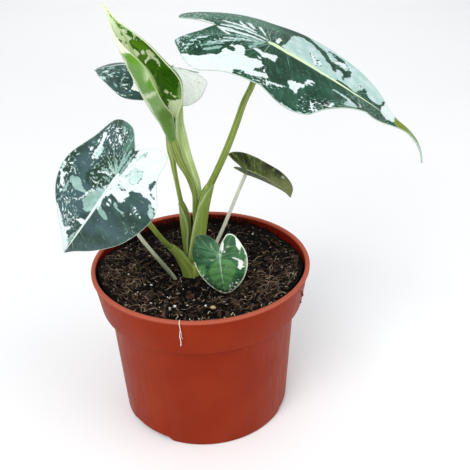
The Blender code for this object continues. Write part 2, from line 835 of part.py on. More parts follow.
def main():
    clear_scene()
    make_pot()
    make_soil(soil_cutters())
    make_stems()
    for blade in BLADES:
        blade.make()
    make_young_blade()


main()
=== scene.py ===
"""The look of a potted variegated alocasia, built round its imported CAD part.

Lengths are in metres and angles in degrees, with +Z up, unless a name says otherwise. A blade's
marks are drawn on the blade laid flat, in hundredths of its length: x along the midrib from the
junction, and y out from it, positive on the left half.
"""

import logging
import math
from dataclasses import dataclass, field
from enum import Enum
from typing import Callable

import bmesh
import bpy
import numpy as np
from mathutils import Matrix, Vector, noise


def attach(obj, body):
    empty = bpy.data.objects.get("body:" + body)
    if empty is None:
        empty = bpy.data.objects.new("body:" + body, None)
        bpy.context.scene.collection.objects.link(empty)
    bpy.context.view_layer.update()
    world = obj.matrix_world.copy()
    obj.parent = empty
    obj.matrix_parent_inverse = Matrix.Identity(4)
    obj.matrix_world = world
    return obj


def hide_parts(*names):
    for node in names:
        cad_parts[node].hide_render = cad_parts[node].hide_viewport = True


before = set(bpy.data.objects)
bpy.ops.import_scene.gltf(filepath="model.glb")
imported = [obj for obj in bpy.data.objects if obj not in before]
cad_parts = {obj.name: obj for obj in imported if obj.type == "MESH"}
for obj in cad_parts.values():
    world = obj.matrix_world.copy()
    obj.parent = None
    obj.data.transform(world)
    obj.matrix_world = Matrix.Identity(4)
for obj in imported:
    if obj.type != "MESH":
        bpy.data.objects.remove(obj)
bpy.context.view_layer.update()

log = logging.getLogger("alocasia")

Points = tuple[tuple[float, ...], ...]
MM = 0.001
# Steps between neighbouring points of a curve
CURVE_STEPS = 8


# Shared tools


def linear(hex_code: str) -> tuple[float, float, float, float]:
    """Turns an sRGB hex value to a linear colour.

    Args:
        hex_code: Six hex digits, with or without a leading #.

    Returns:
        Linear red, green and blue, and an alpha of one.
    """
    digits = hex_code.lstrip("#")
    parts = [int(digits[i : i + 2], 16) / 255 for i in (0, 2, 4)]
    red, green, blue = (c / 12.92 if c <= 0.04045 else ((c + 0.055) / 1.055) ** 2.4 for c in parts)
    return red, green, blue, 1.0


# Numbered sockets, where names repeat: a Mix node's share is 0 and its colours are 6 and 7, and a Map Range
# node's value is 0, the range that it comes from 1 and 2, and the range that it is turned to 3 and 4.
COLOURS = {"data_type": "RGBA", "output": 2}


def fill_inputs(node: bpy.types.Node, inputs: dict) -> None:
    """Sets or links inputs of a shader node.

    Args:
        node: The node.
        inputs: A value or an output socket for each named or numbered input.
    """
    for name, value in inputs.items():
        if isinstance(value, bpy.types.NodeSocket):
            node.id_data.links.new(value, node.inputs[name])
        else:
            node.inputs[name].default_value = value


def add_node(
    tree: bpy.types.NodeTree, kind: str, inputs: dict | None = None, output: int | str = 0, **settings
) -> bpy.types.NodeSocket:
    """Adds a shader node with its settings, values and links.

    Args:
        tree: The material's node tree.
        kind: The node's type name, without the ShaderNode that begins it.
        inputs: A value or an output socket for each named or numbered input.
        output: Which of its outputs is wanted.
        **settings: Attributes of the node itself.

    Returns:
        The wanted output.
    """
    node = tree.nodes.new("ShaderNode" + kind)
    for name, value in settings.items():
        setattr(node, name, value)
    fill_inputs(node, inputs or {})
    return node.outputs[output]


def new_material(name: str) -> tuple[bpy.types.Material, bpy.types.NodeTree, bpy.types.Node]:
    """Makes a material with a Principled shader.

    Args:
        name: The material's name.

    Returns:
        The material, its node tree and its shader.
    """
    material = bpy.data.materials.new(name)
    material.use_nodes = True
    tree = material.node_tree
    return material, tree, tree.nodes["Principled BSDF"]


def smooth_curve(points: Points, steps: int = CURVE_STEPS) -> np.ndarray:
    """Runs a Catmull-Rom curve through the points.

    Args:
        points: Points of any dimension.
        steps: Steps between neighbours.

    Returns:
        The curve's points, ends included.
    """
    points = np.asarray(points, float)
    padded = np.vstack([2 * points[0] - points[1], points, 2 * points[-1] - points[-2]])
    share = (np.arange(steps) / steps)[:, None]
    stretches = []
    for before, start, end, after in zip(padded, padded[1:], padded[2:], padded[3:]):
        rise = (end - before) * share
        bend = (2 * before - 5 * start + 4 * end - after) * share**2
        twist = (3 * start - before - 3 * end + after) * share**3
        stretches.append(start + 0.5 * (rise + bend + twist))
    return np.vstack(stretches + [points[-1:]])


def closed_curve(points: Points, steps: int) -> np.ndarray:
    """Runs a smooth closed curve through the points.

    Args:
        points: Corners of a closed outline.
        steps: Steps between neighbours.

    Returns:
        The outline's points, with the first one not repeated.
    """
    around = [points[-1], *points, points[0], points[1]]
    return smooth_curve(around, steps)[steps : steps * (len(points) + 1)]


def sample(curve: np.ndarray, shares: np.ndarray) -> np.ndarray:
    """Reads a curve at shares of its length in steps.

    Args:
        curve: Rows of points.
        shares: Where to read it, from 0 to 1.

    Returns:
        One row for each share.
    """
    position = np.clip(shares, 0, 1) * (len(curve) - 1)
    index = np.minimum(position.astype(int), len(curve) - 2)
    rest = (position - index).reshape(-1, *[1] * (curve.ndim - 1))
    return curve[index] * (1 - rest) + curve[index + 1] * rest


def segment_distance(points: np.ndarray, path: np.ndarray) -> tuple[np.ndarray, np.ndarray]:
    """Measures how far points are from a path of straight segments.

    Args:
        points: Rows of (x, y).
        path: Rows of (x, y) along the path.

    Returns:
        Each point's distance and the share of the path that it is nearest to.
    """
    best = np.full(len(points), np.inf)
    where = np.zeros(len(points))
    count = len(path) - 1
    for index, (start, end) in enumerate(zip(path, path[1:])):
        step = end - start
        length = max(float(step @ step), 1e-12)
        share = np.clip(((points - start) @ step) / length, 0, 1)
        gap = np.hypot(*(points - start - share[:, None] * step).T)
        nearer = gap < best
        best = np.where(nearer, gap, best)
        where = np.where(nearer, (index + share) / count, where)
    return best, where


def inside(points: np.ndarray, outline: np.ndarray) -> np.ndarray:
    """Tells which points a closed outline holds.

    Args:
        points: Rows of (x, y).
        outline: Rows of (x, y) round the outline.

    Returns:
        True for each point that is inside.
    """
    crossings = np.zeros(len(points), int)
    x, y = points.T
    for (x0, y0), (x1, y1) in zip(outline, np.roll(outline, -1, axis=0)):
        spans = (y0 > y) != (y1 > y)
        crossings += spans & (x < (x1 - x0) * (y - y0) / (y1 - y0 + 1e-12) + x0)
    return crossings % 2 == 1


def wobble(points: np.ndarray, size: float, seed: float) -> np.ndarray:
    """Smooth noise for a list of points.

    Args:
        points: Rows of (x, y) or (x, y, z).
        size: The noise's length, in the points' own unit.
        seed: A shift that gives another draw.

    Returns:
        A value near -1 to 1 for each point.
    """
    rows = np.pad(points, ((0, 0), (0, 3 - points.shape[1]))) / size + seed
    return np.array([noise.noise(row) for row in rows.tolist()])


def sheet(rows: int, columns: int, place: Callable) -> bmesh.types.BMesh:
    """Makes a grid of faces and moves each point into place.

    Args:
        rows: Faces along.
        columns: Faces across.
        place: Turns arrays of shares along and across to rows of (x, y, z).

    Returns:
        The grid, whose points keep their shares as the attributes along and across.
    """
    bm = bmesh.new()
    bmesh.ops.create_grid(bm, x_segments=rows, y_segments=columns, size=0.5)
    along, across = (bm.verts.layers.float.new(name) for name in ("along", "across"))
    shares = np.array([vertex.co[:2] for vertex in bm.verts]) + 0.5
    points = place(shares[:, 0], shares[:, 1])
    for vertex, share, point in zip(bm.verts, shares, points):
        vertex[along], vertex[across] = share
        vertex.co = point
    return bm


def close_up(bm: bmesh.types.BMesh, distance: float = 1e-6) -> None:
    """Welds doubles, fills open ends and turns the faces outwards."""
    bmesh.ops.remove_doubles(bm, verts=bm.verts, dist=distance)
    bmesh.ops.dissolve_degenerate(bm, edges=bm.edges, dist=distance)
    bmesh.ops.holes_fill(bm, edges=[edge for edge in bm.edges if edge.is_boundary], sides=0)
    bmesh.ops.recalc_face_normals(bm, faces=bm.faces)


def join(bm: bmesh.types.BMesh, part: bmesh.types.BMesh) -> list[bmesh.types.BMVert]:
    """Moves a small shape into a larger one.

    Args:
        bm: The larger shape.
        part: The small one, which is freed.

    Returns:
        The vertices that were added.
    """
    mesh = bpy.data.meshes.new("shape")
    part.to_mesh(mesh)
    part.free()
    before = len(bm.verts)
    bm.from_mesh(mesh)
    bpy.data.meshes.remove(mesh)
    bm.verts.ensure_lookup_table()
    return bm.verts[before:]


def tube(stations: Points, rows: int, sides: int, swell: Callable | None = None) -> bmesh.types.BMesh:
    """Makes a closed round stem through stations of (x, y, z, radius).

    Args:
        stations: Points on the stem's middle, with its radius there.
        rows: Rings along the stem.
        sides: Faces round it.
        swell: Gives a factor on the radius for shares along and across.

    Returns:
        The closed stem.
    """
    curve = smooth_curve(stations)
    path, radii = curve[:, :3], curve[:, 3]
    tangents = np.gradient(path, axis=0)
    tangents /= np.linalg.norm(tangents, axis=1)[:, None]
    first = np.cross(tangents[0], (0.0, 1.0, 0.0))
    frames = []
    for tangent in tangents:
        first = first - tangent * (first @ tangent)
        first = first / np.linalg.norm(first)
        frames.append((first, np.cross(tangent, first)))
    table = np.column_stack([path, radii, np.array(frames).reshape(len(path), 6)])

    def place(along: np.ndarray, across: np.ndarray) -> np.ndarray:
        row = sample(table, along)
        turn = 2 * math.pi * across
        radius = row[:, 3] * (swell(along, across) if swell else 1.0)
        aside = np.cos(turn)[:, None] * row[:, 4:7] + np.sin(turn)[:, None] * row[:, 7:10]
        return row[:, :3] + radius[:, None] * aside

    bm = sheet(rows, sides, place)
    close_up(bm)
    return bm


def keep_value(mesh: bpy.types.Mesh, name: str, values: np.ndarray) -> None:
    """Stores one number or vector for each point of a mesh."""
    kind = "FLOAT_VECTOR" if values.ndim == 2 else "FLOAT"
    attribute = mesh.attributes.new(name, kind, "POINT")
    attribute.data.foreach_set("vector" if values.ndim == 2 else "value", values.astype(np.float32).ravel())


def read_value(mesh: bpy.types.Mesh, name: str) -> np.ndarray:
    """Reads a number that each point of a mesh keeps."""
    values = np.zeros(len(mesh.vertices), np.float32)
    mesh.attributes[name].data.foreach_get("value", values)
    return values.astype(float)


def read_places(mesh: bpy.types.Mesh) -> np.ndarray:
    """The places of a mesh's vertices, as rows of (x, y, z)."""
    places = np.empty(len(mesh.vertices) * 3)
    mesh.vertices.foreach_get("co", places)
    return places.reshape(-1, 3)


def keep_round(mesh: bpy.types.Mesh, length: float, radius: float) -> None:
    """Stores a stem's grain vector: round it without a seam, and along it, in millimetres."""
    along, across = read_value(mesh, "along"), read_value(mesh, "across")
    turn = 2 * math.pi * across
    girth = radius / MM
    vector = np.column_stack([girth * np.cos(turn), girth * np.sin(turn), along * length / MM])
    keep_value(mesh, "grain", vector)


def add_piece(
    name: str,
    bm: bmesh.types.BMesh,
    materials: tuple[bpy.types.Material, ...],
    nodes: tuple[str, ...] = (),
    smooth_angle: float = 40.0,
) -> bpy.types.Object:
    """Turns a bmesh to a piece of the plant that rides on its one body.

    Args:
        name: The piece's name.
        bm: Its shape, which is freed.
        materials: Its materials, in the order of its faces' indices.
        nodes: CAD nodes that it stands for.
        smooth_angle: Edges sharper than this stay sharp.

    Returns:
        The piece.
    """
    mesh = bpy.data.meshes.new(name)
    bm.to_mesh(mesh)
    bm.free()
    mesh.shade_smooth()
    mesh.set_sharp_from_angle(angle=math.radians(smooth_angle))
    for material in materials:
        mesh.materials.append(material)
    piece = bpy.data.objects.new(name, mesh)
    bpy.context.scene.collection.objects.link(piece)
    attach(piece, "root")
    if nodes:
        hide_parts(*nodes)
    log.info("%s: %d faces", name, len(mesh.polygons))
    return piece


def thicken(piece: bpy.types.Object, thickness: float, **settings) -> None:
    """Gives a sheet its thickness.

    Args:
        piece: The sheet.
        thickness: How thick it gets.
        **settings: Attributes of its Solidify modifier.
    """
    solidify = piece.modifiers.new("thickness", "SOLIDIFY")
    for name, value in {"thickness": thickness, **settings}.items():
        setattr(solidify, name, value)


# Leaf markings


class Tone(Enum):
    """The colours that a leaf's marks may have. DARK gives the ground colour back."""

    DARK = "dark"
    GREEN = "green"
    SAGE = "sage"
    MINT = "mint"
    WHITE = "white"
    SPECKLED = "speckled"
    DAPPLED = "dappled"
    OLIVE = "olive"


PAINTED = (Tone.GREEN, Tone.OLIVE, Tone.SAGE, Tone.MINT, Tone.WHITE)
UNDERLYING = (Tone.GREEN, Tone.OLIVE)
SPOTTED = (Tone.DAPPLED, Tone.SPECKLED)

# Steps between neighbouring points of a stroke and of a patch
STROKE_STEPS = 4
PATCH_STEPS = 3
# How deep a point lies in a tone that is nowhere near, in millimetres
FAR_OUT = -9.0
# How much of a stroke's width is gone at its ends, squared
STROKE_TAPER = 0.85
# Rows of how far the marks' edges stray, over what length, both in millimetres, and each axis's seed
STRAYS = ((0.55, 2.6, 3.1, 8.7), (0.3, 1.1, 5.3, 1.9))


def tone_set(*codes: str) -> dict[Tone, str]:
    """Gives hex values to the painted tones: green, olive, sage, mint and white."""
    return dict(zip(PAINTED, codes))


@dataclass(frozen=True)
class Mark:
    """A patch of one tone, or a stroke where width is more than nothing.

    Attributes:
        tone: Its colour.
        points: Its outline, or the stroke's path.
        width: Half the stroke's width, in the points' unit.
    """

    tone: Tone
    points: Points
    width: float = 0.0

    def depth(self, points: np.ndarray, unit: float) -> np.ndarray:
        """Measures how deep points lie in the mark.

        Args:
            points: Rows of (x, y), in millimetres.
            unit: Millimetres in one unit of the mark's own points.

        Returns:
            Millimetres inside the mark's edge, negative outside it.
        """
        if self.width:
            path = smooth_curve(self.points, STROKE_STEPS) * unit
            gap, where = segment_distance(points, path)
            return self.width * unit * np.sqrt(1 - STROKE_TAPER * (2 * where - 1) ** 2) - gap
        outline = closed_curve(self.points, PATCH_STEPS) * unit
        gap, _ = segment_distance(points, np.vstack([outline, outline[:1]]))
        return np.where(inside(points, outline), gap, -gap)


def patches(tone: Tone, *outlines: Points) -> tuple[Mark, ...]:
    """Marks of one tone with closed outlines."""
    return tuple(Mark(tone, outline) for outline in outlines)


def strokes(tone: Tone, width: float, *paths: Points) -> tuple[Mark, ...]:
    """Marks of one tone along paths, of one half width."""
    return tuple(Mark(tone, path, width) for path in paths)


def paint(
    mesh: bpy.types.Mesh, points: np.ndarray, marks: tuple[Mark, ...], unit: float, prefix: str = ""
) -> None:
    """Stores how deep each point of a mesh lies in each tone, later marks over earlier ones.

    Args:
        mesh: The blade's mesh.
        points: Each point's place on the flat blade, in millimetres.
        marks: The marks, in the order that they are laid on.
        unit: Millimetres in one unit of the marks' points.
        prefix: Goes before the attributes' names.
    """
    ragged = points.copy()
    for reach, length, *seeds in STRAYS:
        ragged += reach * np.column_stack([wobble(points, length, seed) for seed in seeds])
    depths = {tone: np.full(len(points), FAR_OUT) for tone in (*PAINTED, *SPOTTED)}
    for mark in marks:
        depth = mark.depth(ragged, unit)
        for tone in depths:
            if tone is mark.tone:
                depths[tone] = np.maximum(depths[tone], depth)
            elif mark.tone not in SPOTTED and not (mark.tone in UNDERLYING and tone in SPOTTED):
                depths[tone] = np.minimum(depths[tone], -depth)
    for tone, depth in depths.items():
        keep_value(mesh, prefix + tone.value, depth)


# Finishes


@dataclass(frozen=True)
class LeafFinish:
    """A marbled aroid blade: velvety leaf skin with a soft sheen, marked by pale sectors.

    Attributes:
        name: The material's name.
        deep: The darkest ground colour.
        ground: The usual ground colour.
        tones: The hex value of each painted tone.
        rib: The midrib's colour.
        vein: The side veins' colour.
        margin: The colour of the thin margin.
        roughness: Soft, so that the blade shines broadly.
        shine: The skin's specular level.
        sheen: How much of the pale velvet shine shows.
        streaks: How strongly the ground is brushed with green along the veins.
        sprinkle: How strongly the sparse white specks show that lie all over the blade.
        blur: Half the width over which a mark's edge fades, in millimetres.
        glow: How much light passes through the thin tissue and spreads in it.
        prefix: Goes before the names of the tones' attributes.
    """

    name: str
    deep: str
    ground: str
    tones: dict[Tone, str] = field(
        default_factory=lambda: tone_set("3a6a50", "77862f", "7ea397", "a8c8c2", "d8e4e2")
    )
    rib: str = "c6dca4"
    vein: str = "a4c8b4"
    margin: str = "b8ccbc"
    roughness: float = 0.42
    shine: float = 0.25
    sheen: float = 0.10
    streaks: float = 0.55
    sprinkle: float = 0.5
    blur: float = 0.12
    glow: float = 0.0
    prefix: str = ""

    def build(self) -> bpy.types.Material:
        """Builds the material."""
        material, tree, shader = new_material(self.name)
        place = add_node(tree, "TexCoord", output="Object")
        flow = add_node(tree, "Attribute", output="Vector", attribute_name="flow")
        dyes = {tone: linear(code) for tone, code in self.tones.items()}
        # cloudy change of the ground over about 12 mm
        cloud = add_node(tree, "TexNoise", {"Vector": place, "Scale": 85.0, "Detail": 2.0})
        cloudy = add_node(tree, "MapRange", {0: cloud, 1: 0.38, 2: 0.62})
        # brushed streaks that follow the side veins, about 1 mm wide
        brushed = add_node(tree, "TexNoise", {"Vector": flow, "Scale": 0.62, "Detail": 4.0, "Roughness": 0.6})
        green_streaks, grey_streaks = (
            add_node(tree, "MapRange", {0: brushed, 1: low, 2: high, 4: most * self.streaks})
            for low, high, most in ((0.50, 0.62, 1.0), (0.64, 0.72, 0.5))
        )
        # specks of half a millimetre to a millimetre, three times as long along the veins
        course = add_node(tree, "Mapping", {"Vector": flow, "Scale": (1.0, 5.0, 1.0)})
        fleck = add_node(tree, "TexNoise", {"Vector": course, "Scale": 0.9, "Detail": 2.5, "Roughness": 0.6})
        specks, dapples, cores, sparse = (
            add_node(tree, "MapRange", {0: fleck, 1: low, 2: high, 4: most})
            for low, high, most in (
                (0.55, 0.62, 1.0), (0.55, 0.63, 0.85), (0.64, 0.68, 0.9), (0.69, 0.72, self.sprinkle),
            )
        )
        # the pale sectors are clouded too, over about 5 mm
        mist = add_node(tree, "TexNoise", {"Vector": place, "Scale": 200.0, "Detail": 3.0})
        paling = add_node(tree, "MapRange", {0: mist, 1: 0.42, 2: 0.72, 4: 0.7})
        clouded = dict(dyes)
        for tone, paler in ((Tone.SAGE, Tone.MINT), (Tone.MINT, Tone.WHITE)):
            clouded[tone] = add_node(tree, "Mix", {0: paling, 6: dyes[tone], 7: dyes[paler]}, **COLOURS)
        # ragged edges, finer than the mesh: grains of about 1 mm, drawn out along the veins
        ragged = -1.75
        for grid, scale, roughness, reach in ((place, 1000.0, 0.5, 1.5), (flow, 1.3, 0.6, 2.0)):
            grain = {"Vector": grid, "Scale": scale, "Detail": 3.0, "Roughness": roughness}
            inputs = {0: add_node(tree, "TexNoise", grain), 1: reach, 2: ragged}
            ragged = add_node(tree, "Math", inputs, operation="MULTIPLY_ADD")
        layers = [
            (cloudy, linear(self.ground)),
            (green_streaks, dyes[Tone.GREEN]),
            (grey_streaks, dyes[Tone.SAGE]),
            (sparse, dyes[Tone.MINT]),
        ]
        for tone, limit, dye in (
            (Tone.GREEN, None, Tone.GREEN),
            (Tone.OLIVE, None, Tone.OLIVE),
            (Tone.DAPPLED, dapples, Tone.SAGE),
            (Tone.DAPPLED, cores, Tone.WHITE),
            (Tone.SPECKLED, specks, Tone.WHITE),
            (Tone.SAGE, None, Tone.SAGE),
            (Tone.MINT, None, Tone.MINT),
            (Tone.WHITE, None, Tone.WHITE),
        ):
            depth = add_node(tree, "Attribute", output="Fac", attribute_name=self.prefix + tone.value)
            edge = add_node(tree, "Math", {0: depth, 1: ragged}, operation="ADD")
            blur = 3 * self.blur if tone in UNDERLYING else self.blur
            mask = add_node(tree, "MapRange", {0: edge, 1: -blur, 2: blur})
            if limit:
                mask = add_node(tree, "Math", {0: mask, 1: limit}, operation="MULTIPLY")
            layers.append((mask, clouded[dye]))
        colour = linear(self.deep)
        for mask, dye in layers:
            colour = add_node(tree, "Mix", {0: mask, 6: colour, 7: dye}, **COLOURS)
        # light unevenness in every tone, as in thin tissue over cells
        shade = add_node(tree, "MapRange", {0: fleck, 1: 0.3, 2: 0.7, 3: 0.86, 4: 1.06})
        colour = add_node(tree, "Mix", {0: 1.0, 6: colour, 7: shade}, blend_type="MULTIPLY", **COLOURS)
        for line, dye, most in (("vein", self.vein, 0.4), ("margin", self.margin, 0.9), ("rib", self.rib, 1)):
            depth = add_node(tree, "Attribute", output="Fac", attribute_name=line)
            mask = add_node(tree, "MapRange", {0: depth, 1: -0.15, 2: 0.15, 4: most})
            colour = add_node(tree, "Mix", {0: mask, 6: colour, 7: linear(dye)}, **COLOURS)
        skin = add_node(tree, "TexNoise", {"Vector": place, "Scale": 2600.0, "Detail": 1.0})
        values = {
            "Base Color": colour,
            "Normal": add_node(tree, "Bump", {"Height": skin, "Strength": 0.25, "Distance": 0.0002}),
            "Roughness": self.roughness,
            "IOR": 1.45,
            "Specular IOR Level": self.shine,
            "Sheen Weight": self.sheen,
            "Sheen Roughness": 0.4,
            "Sheen Tint": linear("b8cfd2"),
            "Subsurface Weight": self.glow,
            "Subsurface Scale": 1.5 * MM,
            "Subsurface Radius": (1.0, 1.0, 0.6),
        }
        fill_inputs(shader, values)
        return material


@dataclass(frozen=True)
class StemFinish:
    """A petiole's smooth, juicy skin with fine lengthwise lines.

    Attributes:
        name: The material's name.
        foot: Colour where the tone attribute is nothing.
        top: Colour where the tone attribute is one.
        line: Colour of the fine lines.
        roughness: Low, because the skin is tight and moist.
    """

    name: str
    foot: str
    top: str
    line: str
    roughness: float = 0.34

    def build(self) -> bpy.types.Material:
        """Builds the material."""
        material, tree, shader = new_material(self.name)
        grain = add_node(tree, "Attribute", output="Vector", attribute_name="grain")
        tone = add_node(tree, "Attribute", output="Fac", attribute_name="tone")
        # lengthwise lines: drawn 0.5 mm wide so that they show, and 12 mm long
        drawn = add_node(tree, "Mapping", {"Vector": grain, "Scale": (1.9, 1.9, 0.08)})
        lines = add_node(tree, "TexNoise", {"Vector": drawn, "Scale": 1.0, "Detail": 3.0})
        lined = add_node(tree, "MapRange", {0: lines, 1: 0.46, 2: 0.62, 4: 0.85})
        colour = linear(self.foot)
        for mask, dye in ((tone, self.top), (lined, self.line)):
            colour = add_node(tree, "Mix", {0: mask, 6: colour, 7: linear(dye)}, **COLOURS)
        bump = add_node(tree, "Bump", {"Height": lines, "Strength": 0.3, "Distance": 0.0003})
        fill_inputs(shader, {"Base Color": colour, "Normal": bump, "Roughness": self.roughness, "IOR": 1.42})
        return material


@dataclass(frozen=True)
class CrumbFinish:
    """Loose organic matter, matt and damp: each crumb has its own shade between two colours.

    Attributes:
        name: The material's name.
        dark: The darker colour.
        light: The lighter colour.
        size: Length of the mottling, in millimetres.
        roughness: High, because the matter is broken up.
        relief: Depth of the bump, in millimetres.
    """

    name: str
    dark: str
    light: str
    size: float = 1.2
    roughness: float = 0.9
    relief: float = 0.3

    def build(self) -> bpy.types.Material:
        """Builds the material."""
        material, tree, shader = new_material(self.name)
        place = add_node(tree, "TexCoord", output="Object")
        # each crumb's own tone, which also holds painted shade in the bed's hollows and towards the back
        own = add_node(tree, "Attribute", output="Fac", attribute_name="shade")
        grain = {"Vector": place, "Scale": 1 / (self.size * MM), "Detail": 5.0, "Roughness": 0.7}
        mottle = add_node(tree, "TexNoise", grain)
        spread = add_node(tree, "MapRange", {0: mottle, 1: 0.35, 2: 0.7, 3: -0.35, 4: 0.45})
        level = add_node(tree, "Math", {0: own, 1: spread}, operation="ADD", use_clamp=True)
        colour = add_node(tree, "Mix", {0: level, 6: linear(self.dark), 7: linear(self.light)}, **COLOURS)
        bump = add_node(tree, "Bump", {"Height": mottle, "Strength": 1.0, "Distance": self.relief * MM})
        values = {
            "Base Color": colour,
            "Normal": bump,
            "Roughness": self.roughness,
            "Specular IOR Level": 0.12,
        }
        fill_inputs(shader, values)
        return material


@dataclass(frozen=True)
class PotFinish:
    """Moulded polypropylene in terracotta red: even colour, satin skin, faint scuffs and dust.

    Attributes:
        name: The material's name.
        body: The plastic's colour.
        faded: The paler colour of its scuffs.
        inner: The darker red of its inside, which is painted shade.
        painted_lip_highlight: The lip, painted paler as a highlight.
        mud: The wet soil that sticks to the inside, also laid on towards the back as painted shade.
        dust: The soil dust, in sparse specks.
        roughness: Satin.
        mud_foot: Height under which the mud is solid.
        mud_top: Height over which it is thin.
    """

    name: str = "moulded_polypropylene"
    body: str = "862404"
    faded: str = "943210"
    inner: str = "6c1408"
    painted_lip_highlight: str = "ac5642"
    mud: str = "140c08"
    dust: str = "54200f"
    roughness: float = 0.42
    mud_foot: float = 0.0835
    mud_top: float = 0.0885

    def build(self) -> bpy.types.Material:
        """Builds the material."""
        material, tree, shader = new_material(self.name)
        place = add_node(tree, "TexCoord", output="Object")
        across, height = (add_node(tree, "SeparateXYZ", {0: place}, output=axis) for axis in ("Y", "Z"))
        within = add_node(tree, "Attribute", output="Fac", attribute_name="within")
        lip = add_node(tree, "Attribute", output="Fac", attribute_name="lip")
        # clouds of slightly faded plastic, about 25 mm across
        cloud = add_node(tree, "TexNoise", {"Vector": place, "Scale": 40.0, "Detail": 3.0})
        faded = add_node(tree, "MapRange", {0: cloud, 1: 0.40, 2: 0.75, 4: 0.55})
        # mud on the inside, solid at the soil and broken towards the lip. More of it is laid on towards the
        # back as painted shade under the leaves
        speck = add_node(tree, "TexNoise", {"Vector": place, "Scale": 900.0, "Detail": 4.0})
        low = add_node(tree, "MapRange", {0: height, 1: self.mud_top, 2: self.mud_foot, 3: -0.22, 4: 0.12})
        behind = add_node(tree, "MapRange", {0: across, 1: 0.030, 2: 0.052, 4: 0.20})
        mud_and_shade_level = add_node(tree, "Math", {0: speck, 1: low}, operation="ADD")
        mud_and_shade_level = add_node(tree, "Math", {0: mud_and_shade_level, 1: behind}, operation="ADD")
        mud_and_shade = add_node(tree, "MapRange", {0: mud_and_shade_level, 1: 0.44, 2: 0.50})
        mud_and_shade = add_node(tree, "Math", {0: mud_and_shade, 1: within}, operation="MULTIPLY")
        # dust as sparse specks of half a millimetre
        dusty = add_node(tree, "MapRange", {0: speck, 1: 0.66, 2: 0.72, 4: 0.35})
        colour = linear(self.body)
        for mask, dye in (
            (faded, self.faded),
            # painted shade: the inside is painted a darker red
            (within, self.inner),
            # painted highlight: the lip is painted paler
            (lip, self.painted_lip_highlight),
            # mud near the soil, with painted shade towards the back
            (mud_and_shade, self.mud),
            (dusty, self.dust),
        ):
            colour = add_node(tree, "Mix", {0: mask, 6: colour, 7: linear(dye)}, **COLOURS)
        # the mould's fine upright polish lines
        drawn = add_node(tree, "Mapping", {"Vector": place, "Scale": (1.0, 1.0, 0.12)})
        polish = add_node(tree, "TexNoise", {"Vector": drawn, "Scale": 500.0, "Detail": 2.0})
        dull, bright = self.roughness + 0.08, self.roughness - 0.05
        values = {
            "Base Color": colour,
            "Normal": add_node(tree, "Bump", {"Height": polish, "Strength": 0.2, "Distance": 0.0002}),
            "Roughness": add_node(tree, "MapRange", {0: polish, 1: 0.3, 2: 0.7, 3: bright, 4: dull}),
            "IOR": 1.49,
            "Specular IOR Level": 0.07,
        }
        fill_inputs(shader, values)
        return material


# The pot


